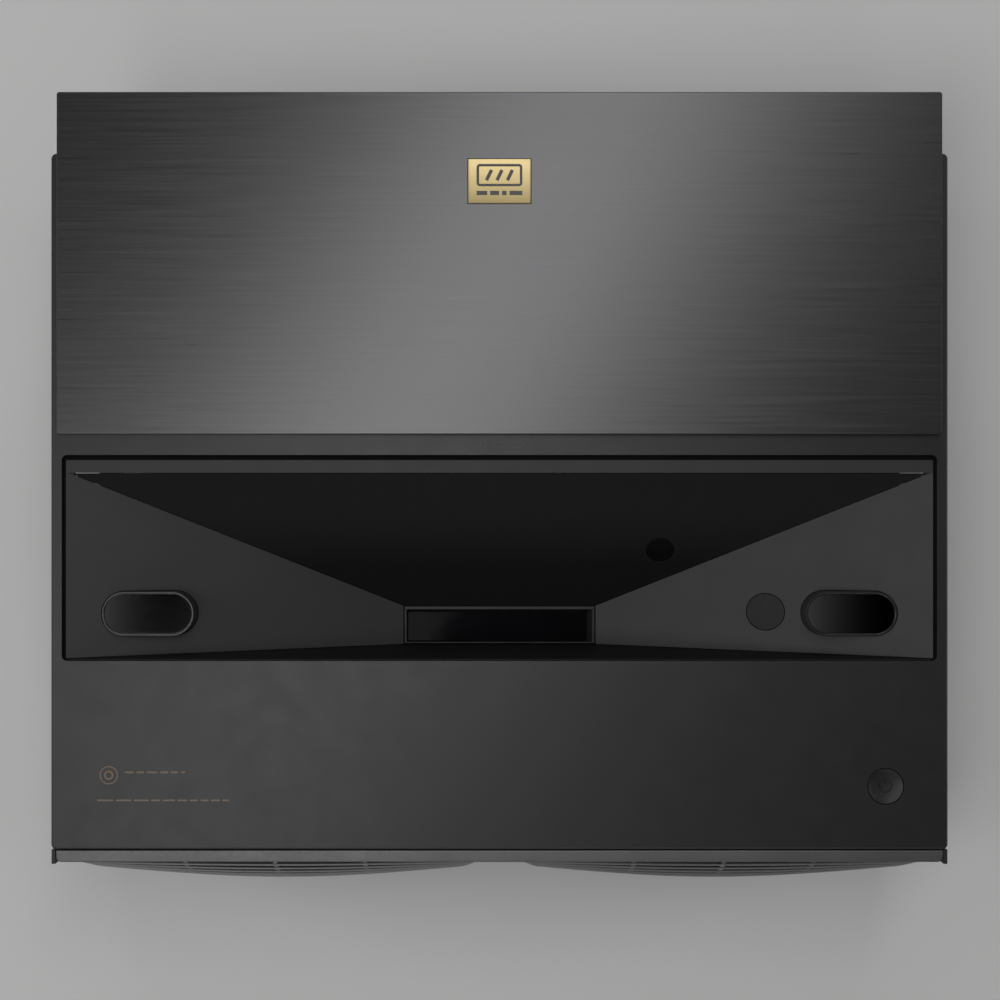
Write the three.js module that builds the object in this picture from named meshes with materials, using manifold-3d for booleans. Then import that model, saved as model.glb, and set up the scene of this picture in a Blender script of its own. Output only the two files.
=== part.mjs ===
// Ultra-short-throw home projector with a motorised sliding cover.
// Millimetres, +Z up. The front, with the loudspeaker grille, faces -Y; the rear, with the
// sockets, faces +Y, towards the wall that the picture falls on.
import * as THREE from 'three';
import { mergeVertices } from 'three/addons/utils/BufferGeometryUtils.js';
import { ConvexGeometry } from 'three/addons/geometries/ConvexGeometry.js';
import Module from 'manifold-3d';

// ---- Driving dimensions ----

// Case
const caseWidth = 500;
const caseDepth = 388;
const caseTop = 151;
const panClearance = 10;
const wall = 2.5;
const caseCorner = 3;
const caseEdge = 1;
const skirtHeight = 16;
const gap = 0.3;
const panelWall = 2.3;

// Front
const hornReach = 8.3;
const barDepth = 6.7;
const barHeight = 8;
const barSeam = 0.5;
const lobeReach = 21;
const lobeFullness = 0.56;
const lobeInner = 4;
const lobeInset = 3.5;
const lobeEnd = 18;
const lobeOverrun = 8;
const ribPitch = 8;
const ribHeight = 2.2;
const ribDepth = 3;
const ribCount = 16;
const postWidth = 3;
const postCount = 10;
const postSetback = 0.6;
const postInset = 20;
const lobeSteps = 6;

// Sliding cover
const coverInset = 4.5;
const coverDepth = 189.7;
const coverOverhang = 33;
const coverRise = 1.4;
const coverHeight = 4.4;
const coverSkin = 1.5;
const coverLap = 2.8;
const badgeWidth = 34.5;
const badgeDepth = 24.5;
const badgeSetback = 49.5;

// Lens well
const wellInset = 6;
const wellDepth = 114.8;
const wellFront = -88.9;
const wellCorner = 3;
const trayGapSide = 2;
const trayGapRear = 2.8;
const trayGapFront = 1.4;
const ledgeDepth = 6.7;
const ledgeLap = 0.4;
const lipDrop = 1.5;
const wellFall = 50;
const trayWall = 2.5;
const windowWidth = 112.4;
const windowDepth = 22.3;

// Things set in the well
const pillLength = 51.9;
const pillWidth = 25.1;
const pillInset = 44.7;
const pillDrop = 6;
const pillRim = 1.4;
const receiverInset = 90.1;
const receiverRadius = 10.5;
const rampSensorX = 92.1;
const rampSensorY = -27.8;
const rampSensorRadius = 7.7;

// Power button
const buttonRadius = 10;
const buttonFromSide = 34.7;
const buttonFromFront = 35.2;
const buttonTravel = 1;

// Cover drive
const rodRadius = 3;
const rodInset = 22;
const bracketLength = 16;
const bracketWall = 5;
const screwRadius = 3;
const screwInset = 44;
const screwDrop = 25;
const motorRadius = 8;
const motorLength = 42;
const runningFit = 0.15;

// Projection optics
const lensBelowWell = 39;
const barrelRadius = 27;
const ringSeatRadius = 25;
const barrelFront = -48;
const engineFront = 60;
const engineWidth = 120;
const engineDepth = 90;
const engineBottom = 30;
const engineTop = 112;
const gearModule = 1;
const ringTeeth = 62;
const pinionTeeth = 12;
const gearWidth = 10;
const ringFront = -17;
const wheelRadius = 24;

// Sound and cooling
const speakerX = 125;
const speakerHeight = 76;
const speakerRadius = 46;
const baffleWall = 3;
const fanSize = 92;
const fanDepth = 25;
const fanY = 78;
const fanRise = 8;
const bladeCount = 7;

// Levelling feet
const footInsetX = 45;
const footInsetY = 45;
const padRadius = 17;
const padHeight = 8.5;
const studRadius = 4;
const studLength = 26;

// ---- Derived places ----

const halfWidth = caseWidth / 2;
const halfDepth = caseDepth / 2;
const skirtBottom = caseTop - skirtHeight;
const deckUnder = caseTop - wall;
const panBottom = panClearance;
const panTop = panBottom + 2;
const panelBottom = panBottom + gap;
const panelTop = skirtBottom - gap;
const insideHalf = halfWidth - panelWall - gap;
const fanHeight = panTop + fanRise + fanSize / 2;

const wellWidth = caseWidth - 2 * wellInset;
const wellRear = wellFront + wellDepth;
const trayHalf = wellWidth / 2 - trayGapSide;
const trayFront = wellFront + trayGapFront;
const trayRear = wellRear - trayGapRear;
const lipTop = caseTop - lipDrop;
const wellFloor = caseTop - wellFall;
const lensHeight = wellFloor - lensBelowWell;
const rampTop = trayRear - ledgeDepth;
const windowHalf = windowWidth / 2;
const windowFront = trayFront + 4.1;
const windowRear = windowFront + windowDepth;
const wingSlope = (lipTop - wellFloor) / (trayHalf - windowHalf);
const rampSlope = (lipTop - wellFloor) / (rampTop - windowRear);
const wingHeightAt = (x) => lipTop - (trayHalf - Math.abs(x)) * wingSlope;
const rampHeightAt = (y) => lipTop - (rampTop - y) * rampSlope;

const coverWidth = caseWidth - 2 * coverInset;
const coverRear = halfDepth + coverOverhang;
const coverFront = coverRear - coverDepth;
const coverTravel = coverFront - wellFront + coverLap;
const coverBottom = caseTop + coverRise;
const coverTop = coverBottom + coverHeight;

const rodX = halfWidth - rodInset;
const rodZ = skirtBottom + rodRadius + 1.5;
const screwX = -(halfWidth - screwInset);
const screwZ = caseTop - screwDrop;
const bracketRear = halfDepth - wall - 5;
const bracketFront = bracketRear - bracketLength;
const slotFront = bracketFront - coverTravel - 1.5;
const slotRear = bracketRear + 1.5;
const rodFront = slotFront - 8;

const lobeOuter = halfWidth - lobeInset;
const barFront = -halfDepth - barSeam - barDepth;
const grilleFront = barFront + gap;
const grilleTop = caseTop - barHeight - 1;
const grilleBottom = grilleTop - (ribCount - 1) * ribPitch - ribHeight;
const baffleFront = grilleFront + ribDepth + 6;

// ---- Solid making ----

const wasm = await Module();
wasm.setup();

function solid(geometry) {
  const bare = geometry.index ? geometry.toNonIndexed() : geometry.clone();
  bare.deleteAttribute('normal');
  bare.deleteAttribute('uv');
  const welded = mergeVertices(bare, 1e-4);
  return new wasm.Manifold(new wasm.Mesh({
    numProp: 3,
    vertProperties: new Float32Array(welded.attributes.position.array),
    triVerts: new Uint32Array(welded.index.array),
  }));
}

function join(...solids) {
  return solids.reduce((sum, next) => sum.add(next));
}

function cut(body, ...tools) {
  return tools.reduce((left, tool) => left.subtract(tool), body);
}

// A box from its low to its high corner.
function block(x0, x1, y0, y1, z0, z1) {
  const geometry = new THREE.BoxGeometry(x1 - x0, y1 - y0, z1 - z0);
  geometry.translate((x0 + x1) / 2, (y0 + y1) / 2, (z0 + z1) / 2);
  return solid(geometry);
}

// The same on one side of the middle, between two distances from it.
function sideBlock(side, inner, outer, y0, y1, z0, z1) {
  return block(Math.min(side * inner, side * outer), Math.max(side * inner, side * outer), y0, y1, z0, z1);
}

function hull(points) {
  return solid(new ConvexGeometry(points.map((p) => new THREE.Vector3(...p))));
}

// Turns a geometry made around +Y so that it runs along the named axis.
function along(geometry, axis) {
  if (axis === 'z') geometry.rotateX(Math.PI / 2);
  if (axis === 'x') geometry.rotateZ(-Math.PI / 2);
  return geometry;
}

// A round bar along an axis, centred on (x, y, z).
function bar(axis, radius, length, x, y, z, sides = 32) {
  const geometry = along(new THREE.CylinderGeometry(radius, radius, length, sides), axis);
  geometry.translate(x, y, z);
  return solid(geometry);
}

// A turned piece: profile points are [radius, station], and stations run along +Y or another axis.
function turned(profile, axis, x, y, z, sides = 32) {
  const points = profile.map(([radius, station]) => new THREE.Vector2(radius, station));
  const geometry = along(new THREE.LatheGeometry(points, sides), axis);
  geometry.translate(x, y, z);
  const made = solid(geometry);
  return made.volume() < 0 ? solid(flipped(geometry)) : made;
}

// The same faces wound the other way.
function flipped(geometry) {
  const bare = geometry.toNonIndexed();
  const p = bare.attributes.position.array;
  for (let i = 0; i < p.length; i += 9) {
    for (let k = 0; k < 3; k += 1) {
      [p[i + 3 + k], p[i + 6 + k]] = [p[i + 6 + k], p[i + 3 + k]];
    }
  }
  return bare;
}

function roundedRectangle(x0, x1, y0, y1, radius) {
  const shape = new THREE.Shape();
  shape.moveTo(x0 + radius, y0);
  shape.lineTo(x1 - radius, y0);
  shape.absarc(x1 - radius, y0 + radius, radius, -Math.PI / 2, 0);
  shape.lineTo(x1, y1 - radius);
  shape.absarc(x1 - radius, y1 - radius, radius, 0, Math.PI / 2);
  shape.lineTo(x0 + radius, y1);
  shape.absarc(x0 + radius, y1 - radius, radius, Math.PI / 2, Math.PI);
  shape.lineTo(x0, y0 + radius);
  shape.absarc(x0 + radius, y0 + radius, radius, Math.PI, 1.5 * Math.PI);
  return shape;
}

// A flat outline in XY made solid from z0 to z1.
function plate(shape, z0, z1, curveSegments = 5) {
  const geometry = new THREE.ExtrudeGeometry(shape, {
    depth: z1 - z0,
    bevelEnabled: false,
    curveSegments,
  });
  geometry.translate(0, 0, z0);
  return solid(geometry);
}

// The same with its edges rounded over by `edge` at both ends.
function softPlate(shape, z0, z1, edge) {
  const geometry = new THREE.ExtrudeGeometry(shape, {
    depth: z1 - z0 - 2 * edge,
    bevelThickness: edge,
    bevelSize: edge,
    bevelOffset: -edge,
    bevelSegments: 2,
    curveSegments: 5,
  });
  geometry.translate(0, 0, z0 + edge);
  return solid(geometry);
}

const projector = new THREE.Group();

function piece(name, body, color, roughness, metalness = 0) {
  const mesh = body.getMesh();
  const geometry = new THREE.BufferGeometry();
  geometry.setAttribute('position', new THREE.BufferAttribute(mesh.vertProperties, 3));
  geometry.setIndex(new THREE.BufferAttribute(mesh.triVerts, 1));
  const material = new THREE.MeshStandardMaterial({ color, roughness, metalness });
  const made = new THREE.Mesh(geometry, material);
  made.name = name;
  projector.add(made);
}

// Makes a piece for each side: -1 is the left as seen from the front of the shelf, +1 the right.
function eachSide(make) {
  make(-1, 'left');
  make(1, 'right');
}

const darkGrey = 0x303032;
const black = 0x121213;
const steel = 0x9a9ca0;

// ---- Case ----

function makeTopCase() {
  const outer = softPlate(
    roundedRectangle(-halfWidth, halfWidth, -halfDepth, halfDepth, caseCorner),
    skirtBottom - 2 * caseEdge, caseTop, caseEdge,
  );
  const below = block(-halfWidth - 1, halfWidth + 1, -halfDepth - 1, halfDepth + 1,
    skirtBottom - 3 * caseEdge, skirtBottom);
  const inside = block(-halfWidth + wall, halfWidth - wall, -halfDepth + wall, halfDepth - wall,
    skirtBottom - 1, deckUnder);
  const well = plate(roundedRectangle(-wellWidth / 2, wellWidth / 2, wellFront, wellRear, wellCorner),
    deckUnder - 1, caseTop + 1);
  const button = bar('z', buttonRadius + gap, 3 * wall, buttonX, buttonY, caseTop);
  let body = cut(outer, below, inside, well, button);
  eachSide((side) => {
    const slotHalf = bracketWall / 2;
    const slot = plate(
      roundedRectangle(side * rodX - slotHalf, side * rodX + slotHalf, slotFront, slotRear, 1.5),
      deckUnder - 1, caseTop + 1, 2,
    );
    const boss = (y0, y1) => block(side * rodX - 8, side * rodX + 8, y0, y1, rodZ - rodRadius - 1.4, deckUnder + 1);
    const rearBoss = boss(bracketRear + 1.5, halfDepth - wall + 1);
    const hole = bar('y', rodRadius + gap, bracketRear - rodFront + 3,
      side * rodX, (rodFront + bracketRear + 3) / 2, rodZ, 16);
    const bosses = cut(join(boss(rodFront - 2, slotFront - 1), rearBoss), slot, hole);
    body = join(cut(body, slot), bosses);
  });
  piece('top_case', body, darkGrey, 0.5);
}

function makeBasePan() {
  const front = baffleFront + baffleWall + gap;
  const rear = halfDepth - panelWall - gap;
  const outer = block(-insideHalf, insideHalf, front, rear, panBottom, panTop + 12);
  const inside = block(-insideHalf + 2, insideHalf - 2, front + 2, rear - 2, panTop, panTop + 13);
  let body = cut(outer, inside);
  footPlaces.forEach(([x, y]) => {
    const boss = bar('z', studRadius + 4, 10, x, y, panTop + 4, 16);
    const bore = bar('z', studRadius + gap, 30, x, y, panTop, 12);
    body = cut(join(body, boss), bore);
  });
  const ventCount = 10;
  for (let i = 0; i < ventCount; i += 1) {
    const x = -54 + i * 12;
    body = cut(body, block(x - 1.5, x + 1.5, -60, 30, panBottom - 1, panTop + 1));
  }
  piece('base_pan', body, black, 0.6, 0.6);
}

function makeSidePanels() {
  eachSide((side, word) => {
    const outline = new THREE.Shape();
    const front = -halfDepth - hornReach;
    outline.moveTo(front, panelBottom);
    outline.lineTo(halfDepth, panelBottom);
    outline.lineTo(halfDepth, panelTop);
    outline.lineTo(-halfDepth - gap, panelTop);
    outline.lineTo(-halfDepth - gap, caseTop - 1);
    outline.lineTo(front, caseTop - 1);
    const geometry = new THREE.ExtrudeGeometry(outline, { depth: panelWall, bevelEnabled: false });
    geometry.rotateX(Math.PI / 2);
    geometry.rotateZ(Math.PI / 2);
    geometry.translate(side > 0 ? halfWidth - panelWall : -halfWidth, 0, 0);
    let body = solid(geometry);
    const slotPitch = 6.5;
    const slotCount = Math.floor((fanSize + 50) / slotPitch) + 1;
    for (let i = 0; i < slotCount; i += 1) {
      const y = fanY + (i - (slotCount - 1) / 2) * slotPitch;
      const low = fanHeight - fanSize / 2 + 10;
      body = cut(body, block(side * halfWidth - 4, side * halfWidth + 4, y - 1.5, y + 1.5, low,
        low + fanSize - 20));
    }
    piece(`side_panel_${word}`, body, black, 0.6);
  });
}

function makeRearPanel() {
  const reach = insideHalf;
  let body = block(-reach, reach, halfDepth - panelWall, halfDepth, panelBottom, panelTop);
  const bay = socketBay();
  body = cut(body, block(bay.left, bay.right, halfDepth - 5, halfDepth + 5, bay.low, bay.high));
  body = cut(body, block(inletX - inletWidth / 2 - gap, inletX + inletWidth / 2 + gap,
    halfDepth - 5, halfDepth + 5, inletZ - inletHeight / 2 - gap, inletZ + inletHeight / 2 + gap));
  const slotCount = 20;
  for (let i = 0; i < slotCount; i += 1) {
    const x = (i - (slotCount - 1) / 2) * 9;
    body = cut(body, block(x - 1.5, x + 1.5, halfDepth - 5, halfDepth + 5, 84, 120));
  }
  piece('rear_panel', body, black, 0.6);
}

function makeTrimBar() {
  const reach = halfWidth - panelWall - gap;
  const outline = new THREE.Shape();
  const rear = -halfDepth - barSeam;
  const corner = 3;
  outline.moveTo(-reach + corner, barFront);
  outline.lineTo(reach - corner, barFront);
  outline.absarc(reach - corner, barFront + corner, corner, -Math.PI / 2, 0);
  outline.lineTo(reach, rear);
  outline.lineTo(-reach, rear);
  outline.lineTo(-reach, barFront + corner);
  outline.absarc(-reach + corner, barFront + corner, corner, Math.PI, 1.5 * Math.PI);
  piece('trim_bar', softPlate(outline, caseTop - barHeight - 0.4, caseTop - 0.4, 0.7), 0x8a8b8e, 0.35, 1);
}

// How far the grille stands out at a place across and up the front: two full lobes side by side,
// which come back to the flat within a short run at each end.
function lobeAt(x, z) {
  const from = Math.abs(x) - lobeInner;
  const to = lobeOuter - Math.abs(x);
  if (from <= 0 || to <= 0) return 0;
  const swell = lobeFullness + (1 - lobeFullness) * Math.sin(Math.PI * from / (from + to));
  const end = Math.sin(Math.PI / 2 * Math.min(from, to, lobeEnd) / lobeEnd);
  const up = (z - grilleBottom + lobeOverrun) / (grilleTop - grilleBottom + 2 * lobeOverrun);
  return lobeReach * swell * end * Math.sin(Math.PI * up);
}

// Each rib follows the lobes at its own height, and each post steps back and forth with the ribs.
function makeGrille() {
  const reach = halfWidth - panelWall - 2 * gap;
  const lows = Array.from({ length: ribCount }, (_, k) => grilleBottom + k * ribPitch);
  const endSteps = [0, 0.3, 0.65].map((share) => share * lobeEnd);
  const crown = lobeOuter - lobeInner - 2 * lobeEnd;
  const oneSide = [
    ...endSteps.map((step) => lobeInner + step),
    ...Array.from({ length: lobeSteps + 1 }, (_, i) => lobeInner + lobeEnd + crown * i / lobeSteps),
    ...endSteps.map((step) => lobeOuter - step).reverse(),
  ];
  const across = [-reach, ...oneSide.map((x) => -x).reverse(), ...oneSide, reach];
  const ribs = lows.map((low) => {
    const front = across.map((x) => new THREE.Vector2(x, grilleFront - lobeAt(x, low + ribHeight / 2)));
    const back = front.map((at) => new THREE.Vector2(at.x, at.y + ribDepth)).reverse();
    return plate(new THREE.Shape([...front, ...back]), low, low + ribHeight);
  });
  const posts = Array.from({ length: postCount }, (_, i) => {
    const middle = (2 * i / (postCount - 1) - 1) * (reach - postInset);
    const front = lows.flatMap((low) => {
      const y = grilleFront + postSetback - lobeAt(middle, low + ribHeight / 2);
      return [new THREE.Vector2(y, low + postSetback), new THREE.Vector2(y, low + ribHeight - postSetback)];
    });
    const back = front.map((at) => new THREE.Vector2(at.x + ribDepth - 2 * postSetback, at.y)).reverse();
    const geometry = new THREE.ExtrudeGeometry(new THREE.Shape([...front, ...back]), {
      depth: postWidth,
      bevelEnabled: false,
    });
    geometry.rotateX(Math.PI / 2);
    geometry.rotateZ(Math.PI / 2);
    geometry.translate(middle - postWidth / 2, 0, 0);
    return solid(geometry);
  });
  piece('front_grille', join(...ribs, ...posts), 0x1c1c1e, 0.45);
}

function makeBaffle() {
  const board = block(-insideHalf, insideHalf, baffleFront, baffleFront + baffleWall,
    panelBottom, deckUnder - skirtHeight + wall - gap);
  const holes = [-1, 1].map((side) => bar('y', speakerRadius - 5, 20, side * speakerX,
    baffleFront, speakerHeight, 48));
  piece('speaker_baffle', cut(board, ...holes), black, 0.8);
}

// ---- Lens well ----

// A slab under a sloping top face, given by its four corners.
function slab(corners, thickness) {
  const low = corners.map(([x, y, z]) => [x, y, z - thickness]);
  return hull([...corners, ...low]);
}

function stadium(length, width, x, y) {
  return roundedRectangle(x - length / 2, x + length / 2, y - width / 2, y + width / 2, width / 2 - 0.01);
}

function makeTray() {
  let body = block(-trayHalf, trayHalf, rampTop - ledgeLap, trayRear, lipTop - trayWall, lipTop);
  eachSide((side) => {
    const wing = slab([
      [side * trayHalf, rampTop, lipTop],
      [side * windowHalf, windowRear, wellFloor],
      [side * windowHalf, windowFront, wellFloor],
      [side * trayHalf, trayFront, lipTop],
    ], trayWall);
    const edge = sideBlock(side, trayHalf - 4, trayHalf, trayFront, trayRear,
      lipTop - trayWall - 2, lipTop - trayWall + 1);
    body = join(body, wing, edge);
    const pillHole = plate(stadium(pillLength + 2 * gap, pillWidth + 2 * gap, side * pillX, pillY),
      wellFloor, caseTop, 6);
    body = cut(body, pillHole);
  });
  body = cut(body, bar('z', receiverRadius + gap, wellFall, receiverX, pillY, lipTop - wellFall / 2));
  piece('well_tray', body, 0x39393b, 0.6);
}

function rampSensorTool(radius, from, to) {
  const length = to - from;
  const geometry = along(new THREE.CylinderGeometry(radius, radius, length, 24), 'z');
  geometry.translate(0, 0, (from + to) / 2);
  geometry.rotateX(Math.atan(rampSlope));
  geometry.translate(rampSensorX, rampSensorY, rampHeightAt(rampSensorY));
  return solid(geometry);
}

function makeRamp() {
  const creaseGap = gap * Math.hypot(1, (trayHalf - windowHalf) / (rampTop - windowRear));
  const halfAt = (y) => windowHalf + (y - windowRear) * (trayHalf - windowHalf) / (rampTop - windowRear);
  const top = rampTop - ledgeLap - gap;
  const bottom = windowRear;
  const ramp = slab([-1, 1].flatMap((side) => [
    [side * (halfAt(top) - creaseGap), top, rampHeightAt(top)],
    [side * (halfAt(bottom) - creaseGap), bottom, rampHeightAt(bottom)],
  ]), 2);
  const edges = [-1, 1].map((side) => sideBlock(side, trayHalf - 4 - gap, trayHalf,
    trayFront, trayRear, lipTop - trayWall - 2 - gap, lipTop));
  piece('light_ramp', cut(ramp, rampSensorTool(rampSensorRadius + gap, -9, 9), ...edges), 0x1b1b1b, 0.85);
  const sensor = cut(rampSensorTool(rampSensorRadius, -6, 0.2), rampSensorTool(rampSensorRadius - 1.3, -1, 1));
  piece('ramp_sensor', sensor, 0x0c0c0d, 0.3);
}

function makeFrontWall() {
  const low = windowHalf - gap;
  const sideGap = gap * 1.1;
  const top = trayFront + gap;
  const wallPoints = [-1, 1].flatMap((side) => [
    [side * (trayHalf - sideGap - 8), trayFront - 0.6, wingHeightAt(trayHalf - 8)],
    [side * (trayHalf - sideGap - 8), trayFront + 0.3 - gap, wingHeightAt(trayHalf - 8)],
    [side * low, windowFront - gap, wellFloor],
    [side * low, windowFront - gap - 1.5, wellFloor],
    [side * low, windowFront - gap, wellFloor - 4],
    [side * low, windowFront - gap - 1.5, wellFloor - 4],
  ]);
  const plateBody = hull([
    [-trayHalf + 1, top - 1.6, lipTop - 0.3],
    [trayHalf - 1, top - 1.6, lipTop - 0.3],
    [-trayHalf + 1, top - 0.7, lipTop - 0.3],
    [trayHalf - 1, top - 0.7, lipTop - 0.3],
    ...wallPoints,
  ]);
  const wings = [-1, 1].map((side) => slab([
    [side * (trayHalf + 2), rampTop, lipTop + gap + 2 * wingSlope],
    [side * (windowHalf - gap), windowRear, wellFloor + gap],
    [side * (windowHalf - gap), windowFront - gap, wellFloor + gap],
    [side * (trayHalf + 2), trayFront - gap, lipTop + gap + 2 * wingSlope],
  ], trayWall + 2 * gap));
  const edges = [-1, 1].map((side) => sideBlock(side, trayHalf - 4 - gap, trayHalf + 1,
    trayFront - gap, trayRear, lipTop - trayWall - 2 - gap, lipTop - trayWall + 1 + gap));
  piece('well_front_wall', cut(plateBody, ...wings, ...edges), 0x161616, 0.8);
}

function makeWindow() {
  const x0 = -windowHalf + 2 * gap;
  const x1 = windowHalf - 2 * gap;
  const y0 = windowFront + gap;
  const y1 = windowRear - gap;
  const top = wellFloor - gap;
  const seat = top - 5;
  const mouth = hull([
    [x0 + 1.2, y0 + 0.8, top + 1], [x1 - 0.6, y0 + 0.8, top + 1],
    [x0 + 1.2, y1 - 1.6, top + 1], [x1 - 0.6, y1 - 1.6, top + 1],
    [x0 + 1.6, y0 + 1, seat], [x1 - 4.2, y0 + 1, seat],
    [x0 + 1.6, y1 - 3.4, seat], [x1 - 4.2, y1 - 3.4, seat],
  ]);
  const seatCut = block(x0 + 1.6, x1 - 4.2, y0 + 1, y1 - 3.4, seat - 1.9, seat + 0.1);
  const throat = block(x0 + 3.5, x1 - 6, y0 + 2.6, y1 - 5, seat - 8, seat);
  const frameBody = block(x0, x1, y0, y1, seat - 4, top);
  piece('window_frame', cut(frameBody, mouth, seatCut, throat), 0x1a1a1b, 0.5);
  const glass = block(x0 + 1.6 + gap, x1 - 4.2 - gap, y0 + 1 + gap, y1 - 3.4 - gap,
    seat - 1.9 + gap, seat - 0.2);
  piece('window_glass', glass, 0x0a0a0c, 0.05);
}

function makePills() {
  eachSide((side, word) => {
    const x = side * pillX;
    const foot = wingHeightAt(pillX - pillLength / 2) - trayWall - 6;
    const body = plate(stadium(pillLength, pillWidth, x, pillY), foot, pillTop, 6);
    const pocket = plate(stadium(pillLength - 2 * pillRim, pillWidth - 2 * pillRim, x, pillY),
      pillTop - 1.5, pillTop + 1, 6);
    piece(`sensor_boss_${word}`, cut(body, pocket), 0x2a2a2b, 0.4);
    const trim = pillRim + gap;
    const lens = plate(stadium(pillLength - 2 * trim, pillWidth - 2 * trim, x, pillY),
      pillTop - 1.5 + gap, pillTop - 0.2, 6);
    piece(`sensor_lens_${word}`, lens, 0x060607, 0.08);
  });
}

function makeReceiver() {
  const disc = bar('z', receiverRadius, wellFall, receiverX, pillY, lipTop - wellFall / 2);
  const band = slab([
    [trayHalf, rampTop + 10, lipTop],
    [windowHalf, rampTop + 10, wellFloor],
    [windowHalf, windowFront, wellFloor],
    [trayHalf, windowFront, lipTop],
  ], trayWall);
  piece('receiver_window', disc.intersect(band), 0x242425, 0.3);
}

// ---- Sliding cover ----

function makeCover() {
  const half = coverWidth / 2;
  const outer = softPlate(roundedRectangle(-half, half, coverFront, coverRear, 1.5),
    coverBottom - 2, coverTop, 0.5);
  const trim = block(-half - 1, half + 1, coverFront - 1, coverRear + 1, coverBottom - 3, coverBottom);
  const hollow = block(-half + coverSkin, half - coverSkin, coverFront + coverSkin, coverRear - coverSkin,
    coverBottom - 1, coverTop - coverSkin);
  const badgeY = coverRear - badgeSetback;
  const pocket = block(-badgeWidth / 2 - gap, badgeWidth / 2 + gap, badgeY - badgeDepth / 2 - gap,
    badgeY + badgeDepth / 2 + gap, coverTop - 0.7, coverTop + 1);
  piece('cover_plate', cut(outer, trim, hollow, pocket), 0x4a4a4c, 0.35, 1);
  piece('cover_badge', block(-badgeWidth / 2, badgeWidth / 2, badgeY - badgeDepth / 2,
    badgeY + badgeDepth / 2, coverTop - 0.7 + gap, coverTop + 0.2), 0xc9a75c, 0.3, 1);

  const inset = coverSkin + gap;
  let carrier = block(-half + inset, half - inset, coverFront + inset, coverRear - inset,
    coverBottom, coverTop - coverSkin - gap);
  eachSide((side) => {
    carrier = cut(carrier, block(side * rodX - legWidth / 2 - gap, side * rodX + legWidth / 2 + gap,
      bracketFront - gap, bracketRear + gap, coverBottom - 1, coverTop));
  });
  piece('cover_carrier', carrier, black, 0.6);
}

const legWidth = bracketWall - 1.4;

function makeBrackets() {
  eachSide((side, word) => {
    const x = side * rodX;
    const legTop = coverTop - coverSkin - 2 * gap;
    const leg = block(x - legWidth / 2, x + legWidth / 2, bracketFront, bracketRear, rodZ, legTop);
    let body = join(leg, block(x - 7, x + 7, bracketFront, bracketRear, rodZ - rodRadius - 3, rodZ + 7));
    if (side < 0) {
      const arm = block(x - 7, screwX + 8, bracketFront, bracketRear, screwZ - 8, rodZ - 5);
      const seat = bar('y', nutRadius + gap, bracketLength + 2, screwX, (bracketFront + bracketRear) / 2,
        screwZ, 20);
      body = cut(join(body, arm), seat);
    }
    const bore = bar('y', rodRadius + runningFit, bracketLength + 2, x,
      (bracketFront + bracketRear) / 2, rodZ, 16);
    piece(`cover_bracket_${word}`, cut(body, bore), steel, 0.4, 1);
    const rodRear = bracketRear + 3;
    piece(`guide_rod_${word}`, bar('y', rodRadius, rodRear - rodFront, x, (rodFront + rodRear) / 2,
      rodZ, 16), 0xb4b6ba, 0.25, 1);
  });
}

const nutRadius = screwRadius + 2.5;

function makeScrewDrive() {
  const nutFront = bracketFront + 1;
  const nutRear = bracketRear - 1;
  piece('screw_nut', turned([
    [screwRadius + runningFit, nutFront], [nutRadius, nutFront],
    [nutRadius, nutRear], [screwRadius + runningFit, nutRear], [screwRadius + runningFit, nutFront],
  ], 'y', screwX, 0, screwZ, 20), 0xb08d45, 0.4, 1);

  const screwFront = slotFront - 12;
  const couplerRear = screwFront + 9;
  const screwRear = bracketRear + 3.5;
  piece('lead_screw', turned([
    [1.8, screwFront], [5, screwFront], [5, couplerRear], [screwRadius, couplerRear],
    [screwRadius, screwRear], [0, screwRear], [0, screwFront + 5], [1.8, screwFront + 5], [1.8, screwFront],
  ], 'y', screwX, 0, screwZ, 20), 0xa9abb0, 0.3, 1);

  const motorRear = screwFront - 1;
  piece('cover_motor', turned([
    [0, motorRear - motorLength], [motorRadius, motorRear - motorLength], [motorRadius, motorRear],
    [1.5, motorRear], [1.5, motorRear + 4.5], [0, motorRear + 4.5],
  ], 'y', screwX, 0, screwZ, 24), steel, 0.4, 1);

  const bearing = cut(
    block(screwX - 8, screwX + 8, bracketRear + 1, halfDepth - panelWall - gap, screwZ - 8, screwZ + 8),
    bar('y', screwRadius + runningFit, 30, screwX, halfDepth, screwZ, 20),
  );
  piece('screw_bearing', bearing, 0xb08d45, 0.5, 1);
}

// ---- Power button ----

const buttonX = halfWidth - buttonFromSide;
const buttonY = -halfDepth + buttonFromFront;

function makeButton() {
  const top = caseTop - 0.2;
  const flange = deckUnder - gap;
  const foot = flange - 6;
  piece('power_button', turned([
    [0, foot], [4, foot], [4, flange - 1.6], [buttonRadius + 1.8, flange - 1.6],
    [buttonRadius + 1.8, flange], [buttonRadius, flange], [buttonRadius, top - 0.3],
    [buttonRadius - 0.3, top], [buttonRadius - 1.4, top - 0.4], [buttonRadius / 2, top - 1.2], [0, top - 1.5],
  ], 'z', buttonX, buttonY, 0, 32), 0x353537, 0.45);

  const boardTop = foot - buttonTravel - 3.6;
  const board = block(buttonX - 14, buttonX + 14, buttonY - 9, buttonY + 9, boardTop - 1.6, boardTop);
  const key = block(buttonX - 5, buttonX + 5, buttonY - 5, buttonY + 5, boardTop - 0.5, foot - buttonTravel - 0.6);
  const posts = [-1, 1].map((side) => block(buttonX + side * 14 - 2, buttonX + side * 14 + 2, buttonY - 3,
    buttonY + 3, boardTop - 1.6, deckUnder - gap));
  piece('power_switch', join(board, key, ...posts), 0x1f4d2b, 0.6);
}

// ---- Projection optics ----

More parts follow.
